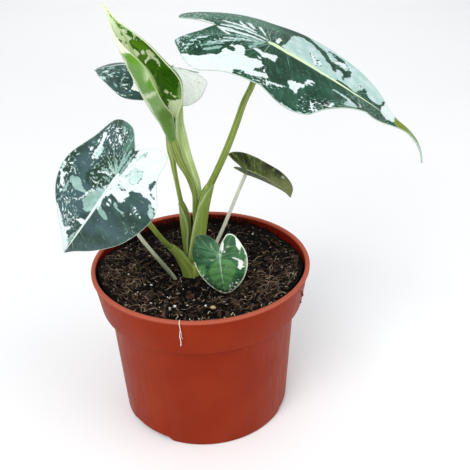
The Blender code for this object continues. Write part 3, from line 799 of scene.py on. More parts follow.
@dataclass
class NurseryPot:
    """A round injection-moulded nursery pot with a collar, a rolled lip and a notched foot."""

    height: float = 0.0914
    rim_radius: float = 0.0600
    lip_width: float = 0.0024
    lip_height: float = 0.0012
    collar_top_radius: float = 0.0592
    collar_foot_radius: float = 0.0562
    collar_height: float = 0.0223
    step_height: float = 0.0011
    body_top_radius: float = 0.0517
    body_foot_radius: float = 0.0478
    wall: float = 0.0015
    floor_rise: float = 0.0032
    floor_thickness: float = 0.0018
    foot_ring_width: float = 0.0050
    pad_radius: float = 0.0140
    steps: int = 180
    drain_holes: int = 8
    drain_hole_radius: float = 0.0040
    drain_hole_circle: float = 0.0300
    notches: int = 3
    first_notch: float = -134.0
    notch_height: float = 0.0029
    notch_top_width: float = 0.0260
    notch_foot_width: float = 0.0360
    smooth_angle: float = 35.0

    def profile(self) -> list[tuple[float, float]]:
        """The pot's section, up the outside, over the lip and down the inside."""
        body_top = self.height - self.collar_height
        floor_top = self.floor_rise + self.floor_thickness
        ring_inner = self.body_foot_radius - self.foot_ring_width
        rim, lip, top = self.rim_radius, self.lip_width, self.height
        return [
            (0.0, 0.0),
            (self.pad_radius, 0.0),
            (self.pad_radius + 0.0010, self.floor_rise),
            (ring_inner - 0.0010, self.floor_rise),
            (ring_inner, 0.0),
            (self.body_foot_radius - 0.0012, 0.0),
            (self.body_foot_radius - 0.0003, 0.0005),
            (self.body_foot_radius, 0.0014),
            (self.body_top_radius, body_top - 0.0010),
            (self.body_top_radius + 0.0003, body_top - 0.0003),
            (self.body_top_radius + 0.0012, body_top),
            (self.collar_foot_radius - 0.0010, body_top + 0.0002),
            (self.collar_foot_radius - 0.0003, body_top + 0.0005),
            (self.collar_foot_radius, body_top + 0.0012),
            (self.collar_top_radius, top - 0.0024),
            (rim - 0.0002, top - 0.0021),
            (rim, top - 0.0017),
            (rim, top - 0.0008),
            (rim - 0.0002, top - 0.0003),
            (rim - 0.0007, top),
            (rim - lip + 0.0007, top),
            (rim - lip + 0.0002, top - 0.0003),
            (rim - lip, top - 0.0008),
            (rim - lip - 0.0001, top - 0.0016),
            (self.collar_foot_radius - self.wall, body_top + self.wall),
            (self.body_top_radius - self.wall, body_top + self.wall - 0.0005),
            (self.body_foot_radius - self.wall, floor_top + 0.0010),
            (self.body_foot_radius - self.wall - 0.0012, floor_top),
            (0.0, floor_top),
        ]

    def cutters(self) -> list[bpy.types.Object]:
        """Upright pins for the drain holes and lying wedges for the notches in the foot."""
        shapes = []
        for index in range(self.drain_holes):
            turn = math.radians(360 / self.drain_holes * (index + 0.5))
            bm = bmesh.new()
            radius = self.drain_hole_radius
            bmesh.ops.create_cone(bm, cap_ends=True, segments=24, radius1=radius, radius2=radius, depth=0.02)
            centre = Vector((math.cos(turn), math.sin(turn), 0.0)) * self.drain_hole_circle
            bmesh.ops.translate(bm, verts=bm.verts, vec=centre)
            shapes.append(bm)
        for index in range(self.notches):
            turn = math.radians(self.first_notch + 360 / self.notches * index)
            bm = bmesh.new()
            made = bmesh.ops.create_cube(bm, size=1.0)["verts"]
            for vertex in made:
                upper = vertex.co.z > 0
                width = self.notch_top_width if upper else self.notch_foot_width
                vertex.co.x = 0.046 + 0.014 * vertex.co.x
                vertex.co.y *= width
                vertex.co.z = self.notch_height if upper else -0.002
            bmesh.ops.rotate(bm, verts=bm.verts, cent=(0, 0, 0), matrix=Matrix.Rotation(turn, 3, "Z"))
            shapes.append(bm)
        cutters = []
        for bm in shapes:
            mesh = bpy.data.meshes.new("pot_cutter")
            bm.to_mesh(mesh)
            bm.free()
            cutters.append(bpy.data.objects.new("pot_cutter", mesh))
        return cutters

    def build(self, material: bpy.types.Material) -> None:
        """Spins the section round and cuts the holes and notches out."""
        bm = bmesh.new()
        outline = [bm.verts.new((radius, 0.0, height)) for radius, height in self.profile()]
        edges = [bm.edges.new(pair) for pair in zip(outline, outline[1:])]
        bmesh.ops.spin(
            bm,
            geom=outline + edges,
            cent=(0.0, 0.0, 0.0),
            axis=(0.0, 0.0, 1.0),
            angle=2 * math.pi,
            steps=self.steps,
            use_merge=True,
        )
        bmesh.ops.remove_doubles(bm, verts=bm.verts, dist=1e-6)
        bmesh.ops.recalc_face_normals(bm, faces=bm.faces)
        pot = add_piece("nursery_pot", bm, (material,), ("pot",), smooth_angle=self.smooth_angle)
        group = bpy.data.collections.new("pot_cutters")
        bpy.context.scene.collection.children.link(group)
        cutters = self.cutters()
        for cutter in cutters:
            group.objects.link(cutter)
        modifier = pot.modifiers.new("openings", "BOOLEAN")
        modifier.operation = "DIFFERENCE"
        modifier.operand_type = "COLLECTION"
        modifier.collection = group
        modifier.solver = "EXACT"
        pot.data = bpy.data.meshes.new_from_object(pot.evaluated_get(bpy.context.evaluated_depsgraph_get()))
        pot.modifiers.clear()
        pot.data.set_sharp_from_angle(angle=math.radians(self.smooth_angle))
        self.keep_zones(pot.data)
        for cutter in cutters:
            bpy.data.objects.remove(cutter, do_unlink=True)
        bpy.data.collections.remove(group)

    def keep_zones(self, mesh: bpy.types.Mesh) -> None:
        """Stores which points are on the pot's inside, and which are on its lip."""
        places = read_places(mesh)
        radius, height = np.hypot(places[:, 0], places[:, 1]), places[:, 2]
        step = self.height - self.collar_height + self.step_height
        outside = np.interp(
            height,
            (0.0, step, step + 0.0001, self.height),
            (self.body_foot_radius, self.body_top_radius, self.collar_foot_radius, self.collar_top_radius),
        )
        within = (radius < outside - 0.6 * self.wall) & (height < self.height - 0.001)
        keep_value(mesh, "within", within.astype(float))
        keep_value(mesh, "lip", (height > self.height - self.lip_height).astype(float))


# The soil


# How far small loose shapes are tilted at random, in radians, and how deep they are dented
LOOSE_TILT = 0.5
LOOSE_DENT = 0.28


def polar(radius: np.ndarray, turn: np.ndarray) -> np.ndarray:
    """Places round the pot's axis, as rows of (x, y)."""
    return np.column_stack([radius * np.cos(turn), radius * np.sin(turn)])


@dataclass
class PottingSoil:
    """The filled soil with its crumbs, bark, perlite, fibres and a root thread over the rim.

    Attributes:
        pot: The pot that it fills.
        level: Height of its middle.
        edge_rise: How much higher it lies at the rim.
        hollow: Azimuth, depth and spread of the part that is washed away at the rim.
        mounds: Azimuth, height and spread of each heap at the rim.
        lumps: How many lumps lie in it.
        lump_seed: Seeds the lumps.
        relief: Rows of (height, length, seed) of its fine crumbs, in millimetres.
        rings: Faces from its middle to its edge.
        turns: Faces round it.
        gap: How far it stays off the pot.
        edge_height: How far its edge reaches up the inside of the collar.
    """

    pot: NurseryPot
    level: float = 0.0822
    edge_rise: float = 0.0045
    hollow: tuple[float, float, float] = (125.0, 0.0045, 45.0)
    mounds: Points = ((186.0, 0.0062, 42.0), (-24.0, 0.0046, 34.0))
    lumps: int = 90
    lump_seed: int = 7
    relief: Points = ((1.035, 3.2, 2.3), (0.6325, 1.5, 7.1), (0.345, 0.8, 4.4))
    rings: int = 110
    turns: int = 260
    gap: float = 0.0003
    edge_height: float = 0.0145

    def __post_init__(self) -> None:
        """Draws the lumps, as rows of (x, y, width, rise)."""
        draw = np.random.default_rng(self.lump_seed)
        radius = self.pot.rim_radius * np.sqrt(draw.uniform(0.03, 0.85, self.lumps))
        turn = draw.uniform(0, 2 * math.pi, self.lumps)
        width = draw.uniform(0.003, 0.008, self.lumps)
        rise = draw.uniform(-0.0012, 0.0016, self.lumps)
        self.heaps = np.column_stack([polar(radius, turn), width, rise])

    def height(self, x: np.ndarray, y: np.ndarray) -> np.ndarray:
        """Height of the smooth soil.

        Args:
            x: Places along X.
            y: Places along Y.

        Returns:
            The height at each place.
        """

        def nearness(azimuth: float, spread: float) -> np.ndarray:
            away = (np.degrees(np.arctan2(y, x)) - azimuth + 180) % 360 - 180
            return np.exp(-((away / spread) ** 2))

        share = np.hypot(x, y) / self.pot.rim_radius
        azimuth, depth, spread = self.hollow
        height = self.level + (self.edge_rise - depth * nearness(azimuth, spread)) * share**2
        for azimuth, rise, spread in self.mounds:
            height += rise * share**3 * nearness(azimuth, spread)
        for cx, cy, width, rise in self.heaps:
            height += rise * np.exp(-((x - cx) ** 2 + (y - cy) ** 2) / width**2)
        return height

    def height_at(self, x: float, y: float) -> float:
        """Height of the smooth soil at one place."""
        return float(self.height(np.array([x]), np.array([y]))[0])

    def fine_height(self, x: np.ndarray, y: np.ndarray) -> np.ndarray:
        """Height of the soil with its crumbs of about a millimetre."""
        points = np.column_stack([x, y]) / MM
        crumbs = sum(height * wobble(points, length, seed) for height, length, seed in self.relief)
        return self.height(x, y) + crumbs * MM

    def bed_edge(self) -> list[tuple[float, float]]:
        """Radius and height of the soil's hidden side, from the floor up the pot's wall."""
        pot, gap = self.pot, self.gap
        body_top = pot.height - pot.collar_height + pot.wall
        floor_top = pot.floor_rise + pot.floor_thickness + gap
        inset = pot.wall + 2 * gap
        return [
            (0.0, floor_top),
            (pot.body_foot_radius - pot.wall - 0.0012 - gap, floor_top),
            (pot.body_foot_radius - inset, floor_top + 0.0010),
            (pot.body_top_radius - inset, body_top - 0.0002),
            (pot.collar_foot_radius - inset, body_top + 2 * gap),
        ]

    @property
    def edge(self) -> float:
        """The soil's radius at the top of its side."""
        pot = self.pot
        collar = pot.collar_foot_radius - pot.wall
        slope = (pot.rim_radius - pot.lip_width - collar) / (pot.collar_height - pot.wall)
        return collar - 2 * self.gap + slope * self.edge_height

    def build_bed(self, material: bpy.types.Material) -> None:
        """Makes the soil itself, coarse where it is hidden and crumbly on top."""
        side = np.array(self.bed_edge())
        rows = self.rings + len(side)
        hidden = len(side) / rows

        def place(along: np.ndarray, across: np.ndarray) -> np.ndarray:
            below = along < hidden - 1e-6
            low = sample(side, along / hidden)
            radius = np.where(below, low[:, 0], self.edge * (1 - along) / (1 - hidden))
            x, y = polar(radius, 2 * math.pi * across).T
            return np.column_stack([x, y, np.where(below, low[:, 1], self.fine_height(x, y))])

        bm = sheet(rows, self.turns, place)
        close_up(bm, 1e-7)
        piece = add_piece("soil_bed", bm, (material,), ("soil",), smooth_angle=80)
        x, y, z = read_places(piece.data).T
        # painted shade: crumbs that stand up are lighter, and the hollows between them darker
        keep_value(piece.data, "shade", 0.35 * (z - self.height(x, y)) / MM - 0.15)

    def scatter(
        self,
        name: str,
        places: np.ndarray,
        sizes: tuple[np.ndarray, ...],
        material: bpy.types.Material,
        shape: Callable[[bmesh.types.BMesh], None],
        seed: int,
        sink: float = 0.2,
    ) -> None:
        """Lays copies of a small shape on the soil, each turned and dented in its own way.

        Args:
            name: The piece's name.
            places: Rows of (x, y), and of z where a third column is given.
            sizes: The copies' half lengths along each of the shape's axes.
            material: The copies' material.
            shape: Adds one unit shape to a bmesh.
            seed: Seeds the turns, dents and shades.
            sink: Share of the height that is sunk into the soil.
        """
        draw = np.random.default_rng(seed)
        bm = bmesh.new()
        shade = bm.verts.layers.float.new("shade")
        for place, size in zip(places, np.column_stack(sizes)):
            chip = bmesh.new()
            shape(chip)
            tilt, roll = draw.uniform(-LOOSE_TILT, LOOSE_TILT), draw.uniform(-LOOSE_TILT, LOOSE_TILT)
            turn = draw.uniform(0, 2 * math.pi)
            spin = Matrix.Rotation(turn, 3, "Z")
            spin = spin @ Matrix.Rotation(tilt, 3, "X") @ Matrix.Rotation(roll, 3, "Y")
            shift = Vector(draw.uniform(0, 50, 3))
            x, y = place[:2]
            # painted shade: the loose pieces are darker towards the back, under the leaves
            own = draw.uniform(0, 1) ** 1.7 * np.interp(y, (-0.02, 0.04), (1.0, 0.45))
            ground = place[2] if len(place) > 2 else self.height_at(x, y)
            centre = Vector((x, y, ground + size[2] * (1 - 2 * sink)))
            for vertex in chip.verts:
                dent = 1 + LOOSE_DENT * noise.noise(vertex.co * 1.7 + shift)
                vertex.co = spin @ Vector(vertex.co * dent * Vector(size)) + centre
            for vertex in join(bm, chip):
                vertex[shade] = own
        add_piece(name, bm, (material,), smooth_angle=50)

    def loose_places(self, count: int, draw: np.random.Generator, reach: float) -> np.ndarray:
        """Draws even places on the soil.

        Args:
            count: How many.
            draw: The generator that draws them.
            reach: Share of the soil's radius that they fill.

        Returns:
            Rows of (x, y).
        """
        radius = self.edge * reach * np.sqrt(draw.uniform(0.0, 1.0, count))
        return polar(radius, draw.uniform(0, 2 * math.pi, count))

    def build_crumbs(self, material: bpy.types.Material) -> None:
        """Lays lumps of dark peat over the whole surface."""
        draw = np.random.default_rng(21)
        count = 1500
        places = self.loose_places(count, draw, 0.97)
        base = 0.0003 + 0.0012 * draw.uniform(0.0, 1.0, count) ** 3
        sizes = (base * draw.uniform(1.0, 2.4, count), base, base * draw.uniform(0.5, 0.9, count))
        self.scatter("peat_crumbs", places, sizes, material, small_ball, 22, sink=0.1)

    def build_splinters(self, material: bpy.types.Material) -> None:
        """Lays thin splinters of wood and root, between the crumbs and over them."""
        draw = np.random.default_rng(61)
        count = 1100
        places = self.loose_places(count, draw, 0.97)
        limits = ((0.0006, 0.0018), (0.00015, 0.00032), (0.0001, 0.0002))
        sizes = tuple(draw.uniform(low, high, count) for low, high in limits)
        self.scatter("wood_splinters", places, sizes, material, small_ball, 62, sink=-0.8)

    def build_stray_dirt(self, material: bpy.types.Material) -> None:
        """Sticks a few crumbs to the outside of the collar, at its right."""
        pot = self.pot
        draw = np.random.default_rng(71)
        count = 26
        height = draw.uniform(pot.height - 0.0190, pot.height - 0.0030, count)
        # a slanting trail, 26 degrees to the front of +X at the top
        turn = np.radians(-26 + draw.normal(0, 3.0, count) + (pot.height - height) * 300)
        heights = (pot.height - pot.collar_height, pot.height)
        radius = np.interp(height, heights, (pot.collar_foot_radius, pot.collar_top_radius)) + 0.0001
        base = draw.uniform(0.0002, 0.0007, count)
        places = np.column_stack([polar(radius, turn), height])
        self.scatter("stray_dirt", places, (base, base, base * 0.6), material, small_ball, 72, sink=0.5)

    def build_bark(self, material: bpy.types.Material) -> None:
        """Lays flat bark chips, some where the photograph shows them."""
        draw = np.random.default_rng(31)
        seen = [(-0.0175, -0.0118), (-0.0166, -0.0248), (0.0044, -0.0407)]
        places = np.vstack([seen, self.loose_places(46, draw, 0.92)])
        count = len(places)
        long = draw.uniform(0.0008, 0.0022, count)
        sizes = (long, long * draw.uniform(0.3, 0.6, count), long * draw.uniform(0.12, 0.25, count))
        self.scatter("bark_chips", places, sizes, material, small_slab, 32)

    def build_stone(self, material: bpy.types.Material) -> None:
        """Lays the one pale grit stone that shows near the front."""
        places, sizes = np.array([(0.0050, -0.0432)]), (0.0021, 0.0011, 0.0009)
        self.scatter("grit_stone", places, sizes, material, fine_ball, 83, sink=-0.8)

    def build_perlite(self, material: bpy.types.Material) -> None:
        """Lays white perlite grains, the larger ones where the photograph shows them."""
        draw = np.random.default_rng(41)
        seen = [
            (-0.0374, 0.0085), (-0.0401, -0.0020), (-0.0272, -0.0133), (-0.0269, -0.0309),
            (-0.0170, -0.0375), (-0.0145, -0.0345), (-0.0115, -0.0058),
        ]
        loose = 70
        places = np.vstack([seen, self.loose_places(loose, draw, 0.94)])
        small = 0.0002 + 0.0005 * draw.uniform(0, 1, loose) ** 2
        base = np.concatenate([draw.uniform(0.0006, 0.0009, len(seen)), small])
        sizes = (base, base * draw.uniform(0.7, 1.0, len(base)), base * 0.8)
        self.scatter("perlite_grains", places, sizes, material, fine_ball, 42)

    def build_fibres(self, material: bpy.types.Material) -> None:
        """Lays curly fibres of coir and dead root, thickest at the left and right of the pot."""
        draw = np.random.default_rng(51)
        bm = bmesh.new()
        shade = bm.verts.layers.float.new("shade")
        steps = 6
        for index in range(640):
            # of each five fibres two lie at the left, two at the right and one anywhere
            if index % 5 < 2:
                turn, radius = draw.normal(3.25, 0.42), self.edge * draw.uniform(0.60, 0.97)
            elif index % 5 < 4:
                turn, radius = draw.normal(-0.55, 0.42), self.edge * draw.uniform(0.50, 0.97)
            else:
                turn, radius = draw.uniform(0, 2 * math.pi), self.edge * draw.uniform(0.25, 0.93)
            heading = draw.uniform(0, 2 * math.pi)
            length = draw.uniform(0.003, 0.009)
            bend = draw.normal(0, 190)
            x, y = radius * math.cos(turn), radius * math.sin(turn)
            path = []
            for step in range(steps + 1):
                if math.hypot(x, y) > self.edge * 0.97:
                    break
                arch = 0.0011 * math.sin(math.pi * step / steps) + 0.0005
                path.append((x, y, self.height_at(x, y) + arch, draw.uniform(0.00008, 0.00015)))
                heading += bend * length / steps + draw.normal(0, 0.25)
                x += math.cos(heading) * length / steps
                y += math.sin(heading) * length / steps
            if len(path) < 4:
                continue
            own = draw.uniform(0.0, 1.0) ** 2.5
            for vertex in join(bm, tube(tuple(path), 9, 3)):
                vertex[shade] = own
        add_piece("coir_fibres", bm, (material,), smooth_angle=80)

    def build_root_thread(self, material: bpy.types.Material) -> None:
        """Hangs the pale root thread from the soil, over the front of the rim."""
        # rows of (x, distance from the pot's axis over the rim's, height over the rim's top)
        course = (
            (-0.0118, -0.0062, -0.0044), (-0.0115, -0.0042, -0.0018), (-0.0117, -0.0012, 0.0003),
            (-0.0119, 0.0002, -0.0010), (-0.0116, -0.0002, -0.0045), (-0.0121, -0.0006, -0.0085),
            (-0.0117, -0.0010, -0.0120), (-0.0119, -0.0013, -0.0150),
        )
        branch = (
            (-0.0117, -0.0002, -0.0045), (-0.0112, -0.0002, -0.0062),
            (-0.0114, -0.0004, -0.0083), (-0.0108, -0.0006, -0.0100),
        )
        rim, top = self.pot.rim_radius, self.pot.height
        bm = bmesh.new()
        for strand, girth in ((course, 0.00017), (branch, 0.00010)):
            path = ((x, -math.sqrt((rim + out) ** 2 - x**2), top + rise, girth) for x, out, rise in strand)
            join(bm, tube(tuple(path), 40, 6))
        piece = add_piece("root_thread", bm, (material,), smooth_angle=80)
        keep_value(piece.data, "shade", np.full(len(piece.data.vertices), 0.9))


def small_ball(bm: bmesh.types.BMesh) -> None:
    """Adds a coarse unit ball."""
    bmesh.ops.create_icosphere(bm, subdivisions=1, radius=1.0)


def fine_ball(bm: bmesh.types.BMesh) -> None:
    """Adds a finer unit ball."""
    bmesh.ops.create_icosphere(bm, subdivisions=2, radius=1.0)


def small_slab(bm: bmesh.types.BMesh) -> None:
    """Adds a unit slab whose edges are cut back."""
    bmesh.ops.create_cube(bm, size=2.0)
    bmesh.ops.bevel(
        bm,
        geom=bm.edges[:],
        offset=0.35,
        offset_type="OFFSET",
        segments=1,
        profile=0.5,
        affect="EDGES",
        material=-1,
    )


# Stems


# The length of a stem's steps, and how many it has at least
STEM_STEP = 0.0012
FEWEST_STEM_STEPS = 12
# The groove's width as a share of a turn, how many fine lines run round a stem, and how deep they are as
# a share of its radius
GROOVE_WIDTH = 0.10
STEM_LINES = 7
STEM_LINE_DEPTH = 0.02


@dataclass
class Stem:
    """A petiole, sheath or spear: a juicy round stem with a shallow groove on its upper side.

    Attributes:
        name: The piece's name.
        stations: Rows of (x, y, z, radius) from its foot.
        slot: Not used.
        nodes: The CAD nodes that it stands for.
        tones: How far the colour has gone from foot to top, at even stations.
        sides: Faces round it.
        groove: Depth of the groove, as a share of the radius.
        groove_turn: Where the groove runs, as a share of a turn.
    """

    name: str
    stations: Points
    slot: str
    nodes: tuple[str, ...]
    tones: tuple[float, ...] = (0.0, 1.0)
    sides: int = 20
    groove: float = 0.10
    groove_turn: float = 0.25

    def swell(self, along: np.ndarray, across: np.ndarray) -> np.ndarray:
        """Factor on the radius: the groove and fine lines."""
        away = (across - self.groove_turn + 0.5) % 1.0 - 0.5
        dip = self.groove * np.exp(-((away / GROOVE_WIDTH) ** 2))
        return 1 - dip + STEM_LINE_DEPTH * np.sin(2 * math.pi * STEM_LINES * across)

    def build(self, material: bpy.types.Material) -> None:
        """Makes the stem and its grain."""
        rows = np.array(self.stations)
        length = float(np.sum(np.linalg.norm(np.diff(rows[:, :3], axis=0), axis=1)))
        bm = tube(self.stations, max(FEWEST_STEM_STEPS, int(length / STEM_STEP)), self.sides, self.swell)
        piece = add_piece(self.name, bm, (material,), self.nodes, smooth_angle=60)
        keep_round(piece.data, length, float(np.mean(rows[:, 3])))
        along = read_value(piece.data, "along")
        keep_value(piece.data, "tone", np.interp(along, np.linspace(0, 1, len(self.tones)), self.tones))


@dataclass
class SheathWing:
    """A sheath's thin free edge, which wraps part of the way round the stems inside it.

    Attributes:
        name: The piece's name.
        stations: Rows of (x, y, z, radius, start and end of the wrap). The angles turn from +X
            towards the front.
        slot: Not used.
        flare: How far the free edges stand off.
        margin: Where the pale margin starts, as a share of the way from the middle to the edge.
        rows: Faces along it.
        columns: Faces across it.
        thickness: How thick it is.
    """

    name: str
    stations: Points
    slot: str = "stalk"
    flare: float = 0.0005
    margin: float = 0.80
    rows: int = 60
    columns: int = 24
    thickness: float = 0.00035

    def place(self, along: np.ndarray, across: np.ndarray) -> np.ndarray:
        """Puts the grid on the sheath."""
        x, y, z, radius, start, end = sample(smooth_curve(self.stations), along).T
        turn = np.radians(start + (end - start) * across)
        radius = radius + self.flare * (2 * across - 1) ** 4
        return np.column_stack([x + radius * np.cos(turn), y - radius * np.sin(turn), z])

    def build(self, material: bpy.types.Material) -> None:
        """Makes the sheath with its pale margin."""
        bm = sheet(self.rows, self.columns, self.place)
        piece = add_piece(self.name, bm, (material,), smooth_angle=70)
        _, _, foot, radius, _, _ = self.stations[0]
        keep_round(piece.data, self.stations[-1][2] - foot, radius)
        out = np.abs(2 * read_value(piece.data, "across") - 1)
        keep_value(piece.data, "tone", np.clip((out - self.margin) * 6, 0, 1))
        thicken(piece, self.thickness, offset=0.0)


# Blades


# Steps of the midrib on each side of the junction
SPINE_STEPS = 60
# Where a blade's waves are given, and how far out they are measured, as shares of its length
WAVE_STATIONS = (-0.30, 0.0, 0.25, 0.50, 0.75, 1.0)
WIDEST_SHARE = 0.38
# Rows before this share fan out from the junction. How near their points are there when they are welded,
# and by how many radians each row turns at least
FAN_END = 0.5
FAN_WELD = 2e-6
LEAST_TURN = 0.012
# How wide the pale midrib is along the blade, as a factor
RIB_PLACES = (-0.06, -0.02, 0.03, 0.5, 0.8, 1.0, 1.1)
RIB_WIDTHS = (-2.0, 0.6, 1.0, 0.6, 0.3, 0.1, -0.3)
# How far back the midrib's line runs through the lobes, and where the tip's own bend starts, as shares
LOBE_REACH = 0.7
TIP_START = 0.75
# Side veins before this share of an outline belong to the lobes. How far the middle of these veins and of
# the others bows forwards, as a share of the vein's length
LOBE_VEINS_END = 0.45
LOBE_VEIN_BOW = 0.10
VEIN_BOW = -0.06
# How far behind its end's own row a side vein leaves the midrib
VEIN_LEAD = 0.02
# A side vein's half width where it starts, and how much of it is gone at the end, in millimetres
VEIN_HALF_WIDTH = 0.30
VEIN_THINNING = 0.16
# One unit of a blade's marks, as a share of its length
MARK_UNIT = 0.01
# Half widths of the dips along the side veins and the midrib
VEIN_DIP = 0.0011
RIB_DIP = 0.0012
# How thick the side veins are underneath, as a share of the midrib, and their half width there
VEIN_RIDGE = 0.25
VEIN_RIDGE_WIDTH = 0.0006
# Thickness weights up to this one are left out
LEAST_WEIGHT = 0.01
# The grid that the finish's streaks follow: a margin's length in blade lengths, how much the streaks are
# drawn out along the veins, and what gives each half and each blade a draw of its own
BORDER_LENGTH = 1.35
VEIN_STRETCH = 0.06
HALF_SHIFT = 40.0
BLADE_SHIFT = 9e3


def bell(distance: np.ndarray, width: float) -> np.ndarray:
    """A smooth bump that is one at no distance and dies away over the width."""
    return np.exp(-((distance / width) ** 2))


@dataclass
class LeafBlade:
    """An arrow-shaped blade, drawn flat and then bent.

    The outlines run from the sinus to the tip, as shares of the length from the junction to the
    tip. heading turns from +X towards +Y, pitch lifts the tip and roll turns the blade about its
    midrib. droop bends the midrib down over its length, curl_tip over its last quarter and
    lobe_droop behind the junction. fold is each half's slope from the midrib, and curl how much
    that slope changes over a width as great as the length. wave lifts each margin by so much at
    WAVE_STATIONS. rib is the thickness at the midrib, and thickness that of the rest. veins holds
    where the side veins end, as shares of each outline. rib_width and rib_reach are shares of the
    length, and margin and lobe_margins the width of the pale margin, before the junction and on the
    left and right lobe behind it.
    """

    name: str
    node: str
    length: float
    junction: tuple[float, float, float]
    heading: float
    pitch: float
    roll: float
    droop: float
    curl_tip: float
    sweep: float
    twist: float
    lobe_droop: float
    fold: tuple[float, float]
    curl: tuple[float, float]
    sinus: float
    left: Points
    right: Points
    wave: tuple[tuple[float, ...], tuple[float, ...]] = ((0.0,) * 6, (0.0,) * 6)
    rib: float = 0.0018
    rows: int = 150
    columns: int = 34
    thickness: float = 0.00045
    veins: tuple[float, ...] = (0.16, 0.32, 0.45, 0.55, 0.64, 0.73, 0.82, 0.90)
    vein_depth: float = 0.00018
    rib_width: float = 0.016
    rib_reach: float = 1.0
    margin: float = 0.0002
    lobe_margins: tuple[float, float] = (0.0002, 0.0002)
    marks: tuple[Mark, ...] = ()

    def spine(self, direction: int) -> tuple[float, np.ndarray]:
        """Steps along the midrib.

        Args:
            direction: 1 for forwards, and -1 for back through the lobes.

        Returns:
            How far it reaches, and rows of the point and of the frame's three axes.
        """
        heading, pitch, roll = np.radians((self.heading, self.pitch, self.roll))
        level = np.array((math.cos(heading), math.sin(heading), 0.0))
        along = level * math.cos(pitch) + np.array((0.0, 0.0, math.sin(pitch)))
        left = np.array((-math.sin(heading), math.cos(heading), 0.0))
        left, up = turned(left, np.cross(along, left), roll)
        reach = self.length if direction > 0 else LOBE_REACH * self.length
        point = np.array(self.junction, float)
        stations = [(point, along, left, up)]
        for index in range(SPINE_STEPS):
            late = (index + 0.5) / SPINE_STEPS > TIP_START
            turns = (self.lobe_droop, 0.0, 0.0)
            if direction > 0:
                tip_curl = self.curl_tip / (1 - TIP_START) if late else 0.0
                turns = (self.droop + tip_curl, self.sweep, self.twist)
            down, aside, over = np.radians(turns) / SPINE_STEPS
            along, up = turned(along, up, -direction * down)
            along, left = turned(along, left, aside)
            left, up = turned(left, up, over)
            point = point + direction * along * reach / SPINE_STEPS
            stations.append((point, along, left, up))
        return reach, np.array(stations)

    def margins(self) -> list[np.ndarray]:
        """The left and right outlines from the sinus to the tip.

        Behind the widest place their bearing from the junction never turns back, because the rows
        that fan out from there would fold over one another.
        """
        curves = []
        for outline in (self.left, self.right):
            curve = smooth_curve([(-self.sinus, 0.0), *outline, (1.0, 0.0)])
            reach = np.hypot(curve[:, 0], curve[:, 1])
            bearing = np.arctan2(np.maximum(curve[:, 1], 0.0), -curve[:, 0])
            for index in range(1, int(FAN_END * len(curve))):
                bearing[index] = max(bearing[index], bearing[index - 1] + LEAST_TURN)
            curves.append(np.column_stack([-reach * np.cos(bearing), reach * np.sin(bearing)]))
        return curves

    def flat(self, along: np.ndarray, across: np.ndarray) -> np.ndarray:
        """Places the grid on the flat blade: rows fan out from the junction, then leave the midrib.

        Args:
            along: Shares from the sinus to the tip.
            across: Shares from the right margin, over the midrib at one half, to the left margin.

        Returns:
            Rows of (x, y), with y positive on the left half.
        """
        reach = np.abs(2 * across - 1)
        side = np.where(across >= 0.5, 1.0, -1.0)
        ends = [sample(curve, along) for curve in self.margins()]
        end = np.where((side > 0)[:, None], ends[0], ends[1])
        start = np.maximum(0.0, (along - FAN_END) / (1 - FAN_END))
        x = start + (end[:, 0] - start) * reach
        y = np.maximum(end[:, 1] * reach, 0.0) * side
        return np.column_stack([x, y]) * self.length

    def bend(self, flat: np.ndarray, lift: np.ndarray) -> np.ndarray:
        """Bends flat points into place.

        Args:
            flat: Rows of (x, y) on the flat blade.
            lift: How far each point stands off the smooth blade.

        Returns:
            Rows of (x, y, z).
        """
        x, y = flat[:, 0], np.abs(flat[:, 1])
        left_half = flat[:, 1] >= 0
        fold = np.radians(np.where(left_half, *self.fold))
        curl = np.radians(np.where(left_half, *self.curl)) / self.length
        curl = np.where(np.abs(curl) < 1e-9, 1e-6, curl)
        ahead, forward = self.spine(1)
        behind, backward = self.spine(-1)
        rows = np.where(
            (x >= 0)[:, None, None],
            sample(forward, x / ahead),
            sample(backward, -x / behind),
        )
        point, left, up = rows[:, 0], rows[:, 2], rows[:, 3]
        out = (np.sin(fold + curl * y) - np.sin(fold)) / curl
        rise = -(np.cos(fold + curl * y) - np.cos(fold)) / curl
        ripples = (np.interp(x / self.length, WAVE_STATIONS, lifts) for lifts in self.wave)
        ripple = np.where(left_half, *ripples)
        rise = rise + ripple * (y / (WIDEST_SHARE * self.length)) ** 2 + lift
        side = np.where(left_half, 1.0, -1.0)
        return point + (side * out)[:, None] * left + rise[:, None] * up

    def vein_gap(self, flat: np.ndarray) -> tuple[np.ndarray, np.ndarray]:
        """Measures how far flat points are from the nearest side vein.

        Args:
            flat: Rows of (x, y) on the flat blade.

        Returns:
            Each point's distance in metres, and how far out along that vein it lies.
        """
        best = np.full(len(flat), np.inf)
        out = np.zeros(len(flat))
        for curve, side in zip(self.margins(), (1, -1)):
            for share in self.veins:
                end = sample(curve, np.array([share]))[0]
                start = np.array((max(0.0, (share - FAN_END) / (1 - FAN_END) - VEIN_LEAD), 0.0))
                bow = LOBE_VEIN_BOW if share < LOBE_VEINS_END else VEIN_BOW
                middle = (start + end) / 2 + (bow * np.hypot(*(end - start)), 0.0)
                path = smooth_curve([start, middle, end], STROKE_STEPS) * (1, side)
                gap, where = segment_distance(flat, path * self.length)
                nearer = gap < best
                best, out = np.where(nearer, gap, best), np.where(nearer, where, out)
        return best, out

    def place(self, along: np.ndarray, across: np.ndarray) -> np.ndarray:
        """Puts the grid on the bent blade, with its midrib and side veins sunk in."""
        flat = self.flat(along, across)
        gap, _ = self.vein_gap(flat)
        # the veins fade out over the last fifth before the margin
        depth = self.vein_depth * np.clip((1 - np.abs(2 * across - 1)) * 5, 0, 1)
        dip = bell(gap, VEIN_DIP) + 0.8 * bell(flat[:, 1], RIB_DIP)
        return self.bend(flat, depth * (0.5 - dip))

